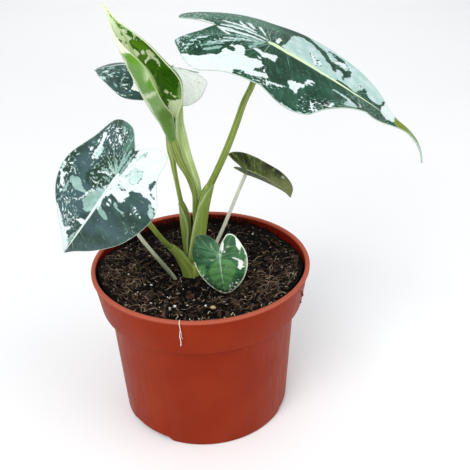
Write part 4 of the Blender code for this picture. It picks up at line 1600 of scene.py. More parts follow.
    def keep_looks(self, mesh: bpy.types.Mesh, flat: np.ndarray, gap: np.ndarray, out: np.ndarray) -> None:
        """Stores the marks, veins, midrib and margin, for the finish to read.

        Args:
            mesh: The blade's mesh.
            flat: Its points on the flat blade.
            gap: Their distance from the nearest side vein.
            out: How far out along that vein they lie.
        """
        along, across = read_value(mesh, "along"), read_value(mesh, "across")
        left_half = across >= 0.5
        border = BORDER_LENGTH * self.length / MM
        reach = np.abs(2 * across - 1)
        draw = np.where(left_half, HALF_SHIFT, -HALF_SHIFT) + self.length * BLADE_SHIFT
        keep_value(mesh, "flow", np.column_stack([along * border, reach * VEIN_STRETCH * border, draw]))
        paint(mesh, flat / MM, self.marks, MARK_UNIT * self.length / MM)
        keep_value(mesh, "vein", VEIN_HALF_WIDTH - VEIN_THINNING * out - gap / MM)
        x = np.clip(flat[:, 0] / self.length, -1, 1)
        width = self.rib_width * self.length * np.interp(x / self.rib_reach, RIB_PLACES, RIB_WIDTHS)
        keep_value(mesh, "rib", (width - np.abs(flat[:, 1])) / MM)
        borders = [
            segment_distance(flat, curve[::2] * (1, side) * self.length)[0]
            for curve, side in zip(self.margins(), (1, -1))
        ]
        margin = np.where(left_half, *self.lobe_margins)
        margin = np.where(flat[:, 0] > 0.1 * self.length, self.margin, margin)
        keep_value(mesh, "margin", (margin - np.where(left_half, *borders)) / MM)

    def build(self, upper: bpy.types.Material, under: bpy.types.Material) -> None:
        """Makes the blade with its veins, marks and thickness, thicker along the ribs.

        Args:
            upper: The upper side's finish.
            under: The underside's finish.
        """
        bm = sheet(self.rows, 2 * self.columns, self.place)
        bmesh.ops.remove_doubles(bm, verts=bm.verts, dist=FAN_WELD)
        blade = add_piece(self.name, bm, (upper, under), (self.node,), smooth_angle=70)
        mesh = blade.data
        flat = self.flat(read_value(mesh, "along"), read_value(mesh, "across"))
        gap, out = self.vein_gap(flat)
        self.keep_looks(mesh, flat, gap, out)
        x, from_junction = flat[:, 0] / self.length, np.hypot(*flat.T) / self.length
        midrib = np.interp(x, (0.0, 0.05, 1.0), (0.0, 1.0, 0.15)) * bell(flat[:, 1], 0.7 * self.rib)
        fading = np.interp(from_junction, (0.03, 0.10), (0.0, 1.0)) * (1 - out)
        veins = VEIN_RIDGE * fading * bell(gap, VEIN_RIDGE_WIDTH)
        group = blade.vertex_groups.new(name="thick")
        for index, weight in enumerate(np.clip(np.maximum(midrib, veins), 0, 1)):
            if weight > LEAST_WEIGHT:
                group.add([index], float(weight), "REPLACE")
        thicken(
            blade,
            self.rib,
            offset=-1.0,
            vertex_group=group.name,
            thickness_vertex_group=self.thickness / self.rib,
            material_offset=1,
            material_offset_rim=1,
        )


def turned(first: np.ndarray, second: np.ndarray, angle: float) -> tuple[np.ndarray, np.ndarray]:
    """Turns the first axis towards the second, and the second away from the first."""
    return (
        first * math.cos(angle) + second * math.sin(angle),
        second * math.cos(angle) - first * math.sin(angle),
    )


@dataclass
class UnrollingLeaf:
    """The young leaf, a scroll that opens to the front right.

    sections are level rows of (height, x of the middle, half width, start and end of the roll). The
    angles turn from +X towards the front. depth is the scroll's depth as a share of its width, and
    lean is its top's y. Its marks are in millimetres: height over the foot, and mark_girth times the
    way round the scroll from the front, positive to the left.
    """

    sections: Points = (
        (0.1560, -0.0107, 0.0004, 60, 400),
        (0.1590, -0.0110, 0.0014, 40, 380),
        (0.1620, -0.0113, 0.0023, 30, 365),
        (0.1705, -0.0128, 0.0041, 36, 365),
        (0.1750, -0.0137, 0.0057, 48, 370),
        (0.1830, -0.0141, 0.0093, 85, 375),
        (0.1935, -0.0164, 0.0113, 97, 375),
        (0.2035, -0.0222, 0.0094, 91, 370),
        (0.2130, -0.0280, 0.0068, 125, 365),
        (0.2225, -0.0348, 0.0022, 170, 360),
        (0.2305, -0.0384, 0.0004, 180, 360),
    )
    foot: float = 0.1620
    lean: float = -0.003
    depth: float = 0.85
    rows: int = 120
    columns: int = 70
    thickness: float = 0.0005
    mark_girth: float = 0.93
    outside: tuple[Mark, ...] = ()
    inside: tuple[Mark, ...] = ()

    def rows_at(self, along: np.ndarray) -> np.ndarray:
        """The level section at each share of the height."""
        return sample(smooth_curve(self.sections), along)

    def place(self, along: np.ndarray, across: np.ndarray) -> np.ndarray:
        """Puts the grid on the scroll's outside."""
        row = self.rows_at(along)
        turn = np.radians(row[:, 3] + (row[:, 4] - row[:, 3]) * across)
        lean = self.lean * (row[:, 0] - self.foot) / (self.sections[-1][0] - self.foot)
        x = row[:, 1] + row[:, 2] * np.cos(turn)
        y = lean - self.depth * row[:, 2] * np.sin(turn)
        return np.column_stack([x, y, row[:, 0]])

    def unrolled(self, along: np.ndarray, across: np.ndarray) -> np.ndarray:
        """The marks' own flat coordinates, in millimetres."""
        row = self.rows_at(along)
        turn = row[:, 3] + (row[:, 4] - row[:, 3]) * across
        way = np.radians(turn - 90) * row[:, 2] * self.mark_girth
        return np.column_stack([row[:, 0] - self.foot, way]) / MM

    def edge_gap(self, along: np.ndarray, across: np.ndarray) -> np.ndarray:
        """Millimetres from each point to the nearer free edge."""
        row = self.rows_at(along)
        return np.minimum(across, 1 - across) * np.radians(row[:, 4] - row[:, 3]) * row[:, 2] / MM

    def build(self, outer: bpy.types.Material, inner: bpy.types.Material) -> None:
        """Makes the scroll with its marks and thickness.

        Args:
            outer: The finish of the outside, which is the blade's underside.
            inner: The finish of the inside.
        """
        bm = sheet(self.rows, self.columns, self.place)
        materials = (outer, inner)
        leaf = add_piece("unrolling_leaf", bm, materials, ("blade_young",), smooth_angle=70)
        mesh = leaf.data
        along, across = read_value(mesh, "along"), read_value(mesh, "across")
        flat = self.unrolled(along, across)
        up, way = flat.T
        # streaks run up the scroll and lean to its left
        keep_value(mesh, "flow", np.column_stack([way * 2.0 + up, way * 0.3, up * 0.3]))
        paint(mesh, flat, self.outside, 1.0, "out_")
        paint(mesh, flat, self.inside, 1.0, "in_")
        middle = np.interp(along, (0, 1), (0.62, 0.5))
        keep_value(mesh, "rib", 0.5 - np.abs(across - middle) * 24)
        keep_value(mesh, "vein", np.full(len(flat), FAR_OUT))
        keep_value(mesh, "margin", 0.25 - self.edge_gap(along, across))
        thicken(leaf, self.thickness, offset=-1.0, material_offset=1)


# The studio


@dataclass
class Lamp:
    """A square area lamp.

    Attributes:
        name: Its name.
        power: Its power in watts.
        size: Its side.
        spread: How wide its light spreads.
        place: Where it stands.
        target: What it points at.
    """

    name: str
    power: float
    size: float
    spread: float
    place: tuple[float, float, float]
    target: tuple[float, float, float]

    def build(self) -> None:
        """Adds the lamp."""
        data = bpy.data.lights.new(self.name, "AREA")
        data.energy = self.power
        data.size = self.size
        data.spread = math.radians(self.spread)
        lamp = bpy.data.objects.new(self.name, data)
        lamp.location = self.place
        aim = Vector(self.target) - lamp.location
        lamp.rotation_euler = aim.to_track_quat("-Z", "Y").to_euler()
        bpy.context.scene.collection.objects.link(lamp)


@dataclass
class Studio:
    """A pale floor, soft lights and the camera at the photograph's angle.

    Attributes:
        lens: The camera's focal length, in millimetres.
        sensor: Its sensor's width, in millimetres.
        distance: How far it stands from the point that it circles.
        elevation: How high it stands over that point.
        aim_height: That point's height.
        pan: How far it then turns to the right.
        tilt: How far it then turns up.
        roll: How far it then turns about its view.
        sky: The sky's colour.
        sky_strength: The sky's strength.
        floor_radius: How far the floor reaches.
        lamps: The lamps.
    """

    lens: float = 55.15
    sensor: float = 36.0
    distance: float = 0.398428
    elevation: float = 30.256
    aim_height: float = 0.091366
    pan: float = 2.822
    tilt: float = 1.81
    roll: float = -2.985
    sky: str = "f4f7fa"
    sky_strength: float = 0.74
    floor_radius: float = 4.0
    lamps: tuple[Lamp, ...] = (
        Lamp("key_lamp", 15.0, 0.9, 180, (-0.55, -0.95, 1.2), (0, 0, 0.12)),
        Lamp("fill_lamp", 6.0, 1.2, 180, (1.1, -0.5, 0.9), (0, 0, 0.12)),
        Lamp("backdrop_lamp", 1.2, 1.2, 70, (0, 1.4, 1.3), (0, 1.3, 0)),
    )

    def build_camera(self) -> None:
        """Adds the camera."""
        rise, pan, tilt, roll = np.radians((self.elevation, self.pan, self.tilt, self.roll))
        place = (0, -self.distance * math.cos(rise), self.distance * math.sin(rise) + self.aim_height)
        right, forward = Vector((1, 0, 0)), Vector((0, math.cos(rise), -math.sin(rise)))
        up = right.cross(forward)
        forward, right = turned(forward, right, pan)
        forward, up = turned(forward, up, tilt)
        right, up = turned(right, up, roll)
        data = bpy.data.cameras.new("camera")
        data.lens = self.lens
        data.sensor_width = self.sensor
        data.clip_start = 0.01
        camera = bpy.data.objects.new("camera", data)
        camera.matrix_world = Matrix((right, up, -forward)).transposed().to_4x4()
        camera.location = place
        bpy.context.scene.collection.objects.link(camera)
        bpy.context.scene.camera = camera

    def build_floor(self) -> None:
        """Adds the floor: matt white board, faintly mottled over about 17 cm."""
        material, tree, shader = new_material("matt_white_board")
        place = add_node(tree, "TexCoord", output="Object")
        mottle = add_node(tree, "TexNoise", {"Vector": place, "Scale": 6.0, "Detail": 2.0})
        colour = add_node(tree, "Mix", {0: mottle, 6: linear("f6f6f6"), 7: linear("fbfbfb")}, **COLOURS)
        fill_inputs(shader, {"Base Color": colour, "Roughness": 0.5})
        bm = bmesh.new()
        bmesh.ops.create_circle(bm, cap_ends=True, segments=64, radius=self.floor_radius)
        mesh = bpy.data.meshes.new("floor")
        bm.to_mesh(mesh)
        bm.free()
        mesh.materials.append(material)
        floor = bpy.data.objects.new("floor", mesh)
        bpy.context.scene.collection.objects.link(floor)

    def build_sky(self) -> None:
        """Adds a bright even sky."""
        world = bpy.data.worlds.new("sky")
        world.use_nodes = True
        background = world.node_tree.nodes["Background"]
        fill_inputs(background, {"Color": linear(self.sky), "Strength": self.sky_strength})
        bpy.context.scene.world = world

    def build(self) -> None:
        """Sets up the camera, floor and lights, with plain colours as they are."""
        self.build_camera()
        self.build_floor()
        self.build_sky()
        for lamp in self.lamps:
            lamp.build()
        bpy.context.scene.view_settings.view_transform = "Standard"


# The leaves' marks, in the order that they are laid on


RIGHT_MARKS = (
    *patches(
        Tone.MINT,
        # the pale sector of the far half
        ((7, 1), (7.5, 8), (9, 15), (10, 21), (12.5, 25.5), (16, 27), (20, 25), (24, 21), (27, 16.5),
         (30, 12), (33, 10), (33.5, 6), (34, 1)),
        # from the dark band out to the far margin
        ((19, 34), (22, 28.5), (25.5, 24.5), (28.5, 22.5), (30, 19), (31.5, 15), (32, 11), (34, 7),
         (36, 3), (42, 2), (45.5, 1), (48, 4.5), (50, 6), (51.5, 9), (53, 4.5), (56, 3), (60, 3.5),
         (62, 8), (64, 15), (50, 24), (35, 31)),
        ((35, -9), (38, -7.5), (42, -8), (44.5, -11), (45.5, -14), (43, -17.5), (40, -18.5), (38.5, -17),
         (40, -14), (41, -11), (38.5, -9.5)),
    ),
    *patches(
        Tone.DARK,
        ((31.5, 15), (36, 15.5), (40, 14.5), (42, 17.5), (43, 14), (42, 10), (40, 8.5), (38.5, 4.5),
         (37.5, 6), (38.5, 10), (35, 12), (34.5, 8.5), (32.5, 7.5), (32, 11)),
    ),
    *strokes(
        Tone.DARK, 1,
        ((30, 24.5), (34, 24), (37, 22), (39.5, 20)),
        ((32.5, 22.5), (35.5, 20.5), (38, 20)),
        ((47, 2), (50, 5), (51.5, 9)),
    ),
    *patches(
        Tone.WHITE,
        ((33, 16.5), (35, 19), (38.5, 19.5), (41, 18), (40, 16.5), (36, 16.5)),
        ((61, 2), (62.5, 6), (64.5, 10), (68, 4), (71, 0.5), (67, -3), (63.5, -3.5), (61, -1)),
        # the big white patch on the near half
        ((-38.5, -23.5), (-33, -24.5), (-27, -23.5), (-21.5, -22), (-20, -18.5), (-17.5, -15), (-14, -13),
         (-11, -13.5), (-10.5, -17), (-10, -20), (-6, -19.5), (-2.5, -18.5), (-2, -21.5), (0, -21.5),
         (0.5, -25), (2, -28.5), (0, -30.5), (-4, -31.5), (-7, -32), (-9, -30.5), (-13, -30.5),
         (-14, -33), (-16, -37), (-25, -36), (-34, -33), (-42, -27)),
        ((-7, -10), (-3, -11), (-0.5, -10.5), (2, -9), (4, -8.5), (3.5, -12), (3, -14), (-0.5, -14),
         (-1, -16), (-3, -14), (-5, -13), (-7, -11.5)),
        ((11.5, -22.5), (12, -20), (14, -18.5), (17, -17.5), (20, -15.5), (19, -19), (17.5, -20.5),
         (17, -23.5), (16.5, -26), (15, -24.5), (12.5, -25), (13, -23)),
        ((-25, -1.5), (-20, -1), (-17.5, -1.5), (-21.5, -3), (-20, -5), (-18.5, -6.5), (-21, -6),
         (-23, -3.5)),
    ),
    *patches(
        Tone.DARK,
        ((-19.5, -16.5), (-17, -15.5), (-14.5, -16.5), (-15.5, -18.5), (-18, -18)),
        ((-5, -28), (-4, -25.5), (-2, -24.5), (-2, -22.5), (0, -22), (-0.5, -25), (0, -27), (-2, -27.5)),
    ),
    *strokes(
        Tone.WHITE, 1.2,
        ((23.5, 3), (22, 8), (20.5, 13)),
        ((25.5, 5), (25, 10)),
        ((2.5, 3), (3.5, 7), (4, 10)),
        ((-9, 6), (-11.5, 11), (-14, 15)),
    ),
    *strokes(
        Tone.WHITE, 0.7,
        ((19.5, -16), (21, -13), (22.5, -11), (24, -10.5)),
        ((20.5, -13.5), (23.5, -13)),
        ((0.5, -32), (5, -29.5), (8, -28), (11, -25.5)),
        ((2, -35), (3, -31), (6, -29)),
        ((-5, -16.5), (-3, -16.8)),
        ((48.5, 10.5), (47.5, 6)),
        ((24, -23.5), (26, -27), (28, -29)),
        ((32, -20.5), (33.5, -22), (32, -25)),
        ((-3, 4), (-5, 9), (-6.5, 13)),
        ((-10, 4), (-15, 8), (-16, 12)),
        ((39, -14), (40.5, -16)),
        ((-30, 29), (-15, 28), (-2, 30)),
    ),
    *strokes(
        Tone.SAGE, 1,
        ((-31, -19), (-28, -16.5), (-24, -15), (-20.5, -14)),
        ((-29, -20), (-25, -19), (-21, -16.5)),
        ((-3, -2), (-7, -8), (-9, -12)),
        ((-5, 1.5), (-15, 2), (-22, 2)),
        ((-4, -2.5), (-10, -4.5), (-16, -5)),
        ((-36, 20), (-25, 22), (-10, 21)),
    ),
    *patches(Tone.MINT, ((10, -37.2), (17, -35.2), (25, -30.5), (31, -26.2), (32, -30), (20, -40))),
    *strokes(
        Tone.WHITE, 0.8,
        ((-2, 1.2), (-12, 1.4), (-24, 1)),
        ((-3, -1.4), (-10, -2.2), (-17, -3), (-24, -3)),
        ((-8, 3.5), (-16, 5), (-24, 6)),
        ((-44, 9), (-36, 5.2), (-27, 1.2)),
    ),
    *strokes(
        Tone.MINT, 0.6,
        ((-5, -4.5), (-13, -7.5), (-21, -10)),
        ((-14, -9), (-22, -13), (-28, -15)),
        ((-27, -10), (-33, -13), (-37, -17)),
        ((-34, -17), (-37, -20), (-39, -22)),
        ((-42, -10), (-41, -14), (-40, -17)),
        ((-43, -9), (-39, -10), (-36, -12)),
        ((33, -9), (36, -7.5)),
        ((47, -6), (48, -9), (47, -12)),
    ),
    *patches(
        Tone.SPECKLED,
        ((24, -24), (28, -22), (31, -24), (28, -28), (24, -28)),
        ((30, -21), (34, -20), (34, -24), (31, -25)),
        ((-6, -31), (4, -31), (4, -35), (-5, -34.5)),
        ((-44, 5), (-36, 3), (-30, 10), (-34, 16), (-42, 16)),
        ((-30, 26), (-10, 26), (-10, 34), (-32, 34)),
        ((-45, -7), (-38, -8), (-38, -20), (-43, -19)),
    ),
    *patches(
        Tone.DAPPLED,
        ((-40, -8), (-24, -5), (-5, -5), (-12, -13), (-25, -16), (-40, -24)),
        ((20, -22), (33, -18), (42, -12), (45, -16), (36, -26), (26, -33), (18, -34)),
        ((-14, -30), (3, -30), (8, -28), (6, -37), (-14, -36)),
        ((-30, 5), (-15, 1), (3, 5), (4, 20), (-10, 24), (-30, 20)),
        ((42, 0), (42, -6), (55, -10), (66, -5), (60, 2)),
    ),
    *patches(Tone.GREEN, ((-46, 4), (-25, 8), (0, 16), (6, 24), (-10, 34), (-46, 34))),
    *patches(Tone.OLIVE, ((74, 6), (73, -6), (110, -6), (110, 6))),
)

LEFT_MARKS = (
    *patches(
        Tone.OLIVE,
        ((-14, -1), (2, -1), (12, -4), (20, -12), (16, -21), (2, -18), (-10, -12)),
        ((102, 0), (94, 10), (80, 22), (62, 36), (46, 42), (48, 37), (64, 27), (80, 13), (93, 2)),
    ),
    *patches(
        Tone.GREEN,
        ((-42, -10), (-33, -3), (-25, -2), (-20, -5), (-20, -9), (-28, -10), (-34, -13), (-36, -20),
         (-42, -20)),
    ),
    *patches(
        Tone.WHITE,
        # the white lobe of the left half
        ((-25, 2.7), (-20, 3), (-12, 2.5), (-5, 2.5), (0, 0), (10, 0), (14, 5), (15, 10), (16.5, 12.5),
         (15, 15), (13.5, 14.5), (12.5, 16.5), (11, 16.5), (10, 15), (8.5, 16.5), (6, 16.5), (4, 15),
         (2, 16.5), (0.5, 19), (-0.5, 22), (0, 26), (0, 32), (2, 35), (3, 38), (5, 43), (0, 43),
         (-10, 35), (-16, 30), (-30, 29), (-43, 24), (-43, 12), (-32, 5)),
        ((-22.5, -25), (-21.5, -27.5), (-17, -26.5), (-12, -25), (-5, -25), (0, -24), (1, -22.5),
         (-3, -21.5), (-8, -22), (-12, -22.5), (-15, -23.5), (-19, -24)),
        ((50, -0.5), (53, -0.5), (54.5, -2), (54, -5), (55, -8), (53, -7), (51.5, -5), (50, -4)),
        # the white margin before the tip
        ((51, -33), (56, -24.5), (60, -20), (65, -16.5), (70, -12), (67, -10), (64.5, -8.5), (68, -7.5),
         (72, -8.5), (74.5, -6.5), (76, -5), (80, -3), (84, -1), (95, -0.5), (102, 0), (88, -11),
         (70, -22)),
        ((25, -35), (30, -34), (34, -31), (37, -31), (35, -34), (31, -36), (27, -38)),
        ((13, 0), (14, 4), (20, 2), (27, 2.2), (31, 4), (33, 3), (30, 0)),
    ),
    *patches(
        Tone.DARK,
        ((-16, 26.5), (-14, 28.5), (-8, 28), (-7.5, 26.5), (-10, 24.5), (-13, 24.5)),
    ),
    *strokes(Tone.DARK, 0.8, ((-5.5, 29), (-4, 32), (-3, 34)), ((7.5, 6.5), (7.8, 11))),
    *patches(
        Tone.MINT,
        ((-16.5, 13), (-12, 16.5), (-5, 16.5), (-2, 12.5), (-4, 9), (-2, 5), (-5, 6), (-8, 7.5), (-13, 7),
         (-15, 9), (-13, 11)),
        ((-12.5, -21.5), (-10, -20), (-5, -20.5), (-2, -20.5), (0, -22), (-5, -23.5), (-10, -23)),
    ),
    *strokes(
        Tone.MINT, 1.2,
        ((2, 4), (5, 8), (5.5, 12)),
        ((-30, 8.5), (-25, 7.5), (-20, 6)),
        ((8, -1), (14, -3.5), (18, -7)),
        ((16, -38.5), (20, -39), (26, -38.5)),
    ),
    *patches(
        Tone.SAGE,
        # the wedge beside the midrib
        ((14, -0.5), (20, 0), (30, 0), (38, -0.5), (40, -3), (42.5, -6), (38, -9), (37, -11.5),
         (34, -12.5), (30, -11.5), (26, -10), (22, -10), (19, -8), (16, -4.5)),
        ((28, -13), (30, -18), (32, -22), (29, -25), (27, -29), (23.5, -29), (21, -24), (22.5, -20),
         (25, -17)),
        ((17.5, 11), (20, 15), (19.5, 20), (21, 22), (22.5, 20), (22.5, 14), (20, 10.5)),
        ((2, 33), (3, 36), (6, 40), (10, 42), (11, 39.5), (9, 37), (5, 35), (3, 32)),
        ((29, 2.5), (30, 6), (31, 9), (33, 12.5), (35.5, 13), (36.5, 10), (35.5, 6), (33.5, 3.5)),
        ((58, -1), (66, -0.5), (80, -0.5), (82, -2), (78, -3.5), (72, -3), (66, -2)),
    ),
    *strokes(
        Tone.SAGE, 1,
        ((-1, -1), (-5, -4), (-10, -7)),
        ((-2, -1), (-10, -2.5), (-18, -4.5)),
        ((-34.5, -19), (-33, -16), (-30, -15)),
        ((55, -10), (60, -12), (66, -12)),
        ((30, -30), (36, -28), (42, -29)),
    ),
    *strokes(
        Tone.WHITE, 0.9,
        ((0, -1), (2, -6), (6, -14)),
        ((-27, -16.5), (-25, -15), (-22.5, -12.5)),
        ((-7, -28), (-5, -28.5), (-3, -27.5)),
        ((16.5, -33), (18, -30), (19.5, -28)),
        ((19, -8), (25, -11), (32, -12.8), (36, -14.5), (39, -18)),
        ((19, 5), (21.5, 9.5)),
        ((23, 5), (24.5, 9)),
        ((40, -31), (43, -29.5)),
        ((16, -39), (19, -39.5)),
    ),
    *strokes(
        Tone.WHITE, 0.6,
        ((13, -14), (15, -17)),
        ((14.5, -9), (15, -13)),
        ((40, -20), (44, -23), (48, -26)),
        ((44, -19), (48, -21)),
        ((-19, -21), (-18, -18.5)),
        ((-29, -19), (-28, -22)),
        ((12, 25.5), (12.5, 26)),
        ((17.5, 25.5), (18, 26.5)),
        ((29, 35.5), (30, 35)),
        ((32, 33), (33, 33.5)),
        ((34.5, 36.5), (35, 37)),
        ((15.5, 32.5), (16, 33)),
    ),
    *strokes(
        Tone.SAGE, 0.8,
        ((0, -2), (1, -8), (3.5, -13)),
        ((-0.5, -2), (-3, -8), (-5, -12)),
        ((2, -1), (6, -5), (9, -9)),
        ((-2, 1.2), (-12, 1), (-22, 1.2)),
        ((-2, -1.2), (-12, -1.5), (-23, -2)),
    ),
    *patches(
        Tone.SPECKLED,
        ((-33, -14), (-27, -11), (-20, -13), (-16, -18), (-18, -23.5), (-10, -26), (-16, -28),
         (-27, -26.5), (-32, -20)),
        ((12, -37), (16, -31), (25, -33), (30, -31), (38, -30), (44, -30), (38, -36), (28, -39),
         (18, -42)),
        ((55, -6), (64, -6), (70, -10), (58, -20), (52, -20)),
    ),
    *patches(
        Tone.DAPPLED,
        ((-35, -10), (-25, -5), (-10, -3), (12, -3), (20, -12), (12, -20), (2, -26), (-5, -31),
         (-28, -28), (-35, -18)),
        ((32, -20), (45, -12), (50, -6), (72, -10), (50, -30), (30, -42), (8, -42), (2, -34), (12, -27),
         (22, -30)),
        ((26, 38), (27, 31), (35, 31), (38, 37)),
        ((8, 28), (12, 22), (17, 24), (15, 32)),
    ),
)

BACK_MARKS = (
    *patches(
        Tone.WHITE,
        ((-55, 0), (-30, 0), (-5, 0), (5, 2), (14, 18), (10, 34), (5, 50), (-20, 55), (-55, 40)),
        ((30, 42), (42, 38), (48, 34.5), (52, 34), (57, 31), (56, 28), (53.5, 25), (54, 21.5), (50, 18),
         (40, 22), (32, 32)),
        ((-50, -2), (-25, -3), (-10, -12), (-15, -30), (-5, -50), (-30, -55), (-50, -30)),
        ((35, -50), (45, -30), (50, -12), (62, -18), (60, -35), (70, -45)),
    ),
    *patches(
        Tone.SAGE,
        ((-42, 14.5), (-40, 15.5), (-39, 14)),
        ((-36, 14), (-34, 15), (-33, 13)),
        ((12, -5), (30, -12), (35, -20), (20, -30), (10, -20)),
    ),
    *strokes(
        Tone.MINT, 1.2,
        ((83, 5.5), (88, 6.2), (93, 6)),
        ((91, 14), (94, 12), (97, 10)),
        ((86, 28), (82, 33), (77, 37.5)),
        ((60, 26), (65, 25.5), (70, 25)),
    ),
    *strokes(
        Tone.SAGE, 0.7,
        ((62, 13), (66, 18), (71, 20)),
        ((70, 7), (78, 10), (86, 10)),
        ((75, 2), (85, 3.5)),
        ((60, 38), (68, 36)),
        ((74, 27), (80, 24)),
    ),
    *patches(Tone.DAPPLED, ((62, 0), (98, 0), (98, 15), (75, 40), (58, 45), (60, 20))),
)

FRONT_MARKS = (
    # lighter green patches between the veins: partly painted highlights on the glossy blade
    *patches(
        Tone.GREEN,
        ((3, 3), (10, 24), (28, 27), (50, 20), (84, 7), (84, -6), (55, -18), (30, -21), (10, -8)),
        ((20, -28), (42, -28), (40, -36), (22, -38)),
    ),
    *patches(
        Tone.SPECKLED,
        ((50, 32), (66, 27), (80, 19), (92, 10), (86, 5), (70, 12), (55, 22)),
        ((25, -33), (40, -30), (55, -24), (50, -33), (34, -38)),
    ),
    *patches(
        Tone.SAGE,
        ((0, 5), (6, 2), (20, 2), (40, 1), (40, -2), (5, -4), (-10, -3)),
        ((-2, 48), (5, 42), (15, 44), (28, 40), (34, 42), (20, 50)),
    ),
    *patches(
        Tone.WHITE,
        ((-48, 27), (-40, 30), (-30, 29.5), (-24, 31), (-20, 34), (-10, 35.5), (-12, 37), (-22, 37),
         (-30, 42), (-45, 36)),
        ((2, 37), (6, 39.5), (10, 38.5), (13, 39), (17, 42), (20, 39), (26, 35), (22, 31), (17, 32),
         (12, 31.5), (5, 31.5), (4, 27), (2, 23.5), (-2, 24), (1, 30)),
        ((-38, 4.5), (-30, 8.5), (-20, 8.5), (-12, 6), (-7, 4), (-20, 1), (-35, 1)),
    ),
    *strokes(
        Tone.WHITE, 1,
        ((-11, 9), (-8, 10.5)),
        ((21, 10), (22.5, 6)),
        ((72, 11.5), (80, 12), (90, 10)),
        ((-47, 33), (-28, 42), (-8, 47)),
    ),
    *strokes(
        Tone.MINT, 1.3,
        ((45, 41.5), (62, 32), (80, 22), (92, 12), (98.5, 4)),
        ((40, -37.5), (60, -30), (80, -19), (93, -10), (98.5, -3)),
    ),
    *strokes(
        Tone.SAGE, 0.9,
        ((-27, 28), (-25, 20), (-21, 13)),
        ((5, -5), (8, -14), (6, -20)),
        ((-5, -4), (-18, -12), (-30, -15)),
        ((60, -20), (72, -14)),
    ),
)

SIDE_MARKS = (
    # pale strokes near the tip: partly pale flecks, partly painted highlights
    *strokes(
        Tone.SAGE, 1,
        ((60, 4.5), (65, 7.5), (70, 9)),
        ((83, 14), (86, 19)),
    ),
    *strokes(
        Tone.SAGE, 0.7,
        ((70, 20), (74, 23.5)),
        ((86, 13), (90, 15)),
        ((93, 10), (95, 5)),
    ),
    *patches(Tone.OLIVE, ((40, 2), (60, 10), (80, 22), (100, 24), (102, -20), (40, -30))),
)

LOW_MARKS = (
    *patches(
        Tone.WHITE,
        ((10, 0), (15, 20), (5, 40), (35, 40), (45, 15), (40, 0)),
        ((-40, -10), (-10, -8), (-10, -25), (-35, -30)),
    ),
    *patches(Tone.SAGE, ((30, -2), (60, -3), (55, -15), (35, -20))),
)

YOUNG_OUTSIDE = (
    *patches(
        Tone.WHITE,
        ((47, 1.8), (50, 3.2), (56, 4.2), (62, 2.0), (66, -0.5), (70, 1), (63, 9), (55, 12), (48, 13),
         (46.3, 8), (46.8, 4)),
        ((34, 11.5), (36, 15), (29, 16.5), (28, 12.5)),
    ),
    *patches(
        Tone.MINT,
        ((46, 8), (44, 13), (36, 17), (27, 17), (24, 15), (15, 13), (8, 9), (0, 6), (0, 3.2), (6, 3.4),
         (12, 4.2), (17, 6.0), (24, 7.5), (28, 10), (34, 10.5), (40, 9.5)),
        ((28.5, 2.5), (27, 6), (25.2, 9), (24.5, 7), (25.5, 4.5), (27, 2)),
    ),
    *strokes(Tone.MINT, 0.5, ((38, 0.3), (36, 2.0), (33.5, 4.0)), ((44.5, 7.5), (42.5, 8.6), (41, 8.9))),
    *patches(
        Tone.GREEN,
        ((46, 1.2), (46.5, 4.5), (45, 7), (42.5, 6.6), (41, 4), (41.5, 0.5), (44, 0.3)),
        ((35.5, 1.0), (34.5, 3.2), (31, 5.2), (29.3, 3.4), (30, 1.5), (33, 0.9)),
    ),
    *strokes(Tone.GREEN, 0.55, ((37.5, 4.6), (35, 6.5), (31, 8.6)), ((40, 2.5), (38.5, 4), (37, 5.4))),
    *patches(
        Tone.OLIVE,
        ((19.5, -1.5), (19, 1.5), (16, 3.6), (11, 3.2), (4, 2.0), (0, 1.5), (0, -3), (5, -4), (12, -5),
         (16, -4)),
        ((34, 27), (30, 31), (24, 30), (20, 26), (24, 23), (30, 24)),
        ((48, 22), (44, 27), (39, 30), (37, 27), (42, 23), (46, 19)),
    ),
    *strokes(Tone.DARK, 0.4, ((13, -3.4), (8, -3.0), (3, -2.2))),
    *patches(Tone.SPECKLED, ((45, 9), (38, 24), (28, 38), (18, 34), (12, 20), (24, 15), (36, 17))),
)

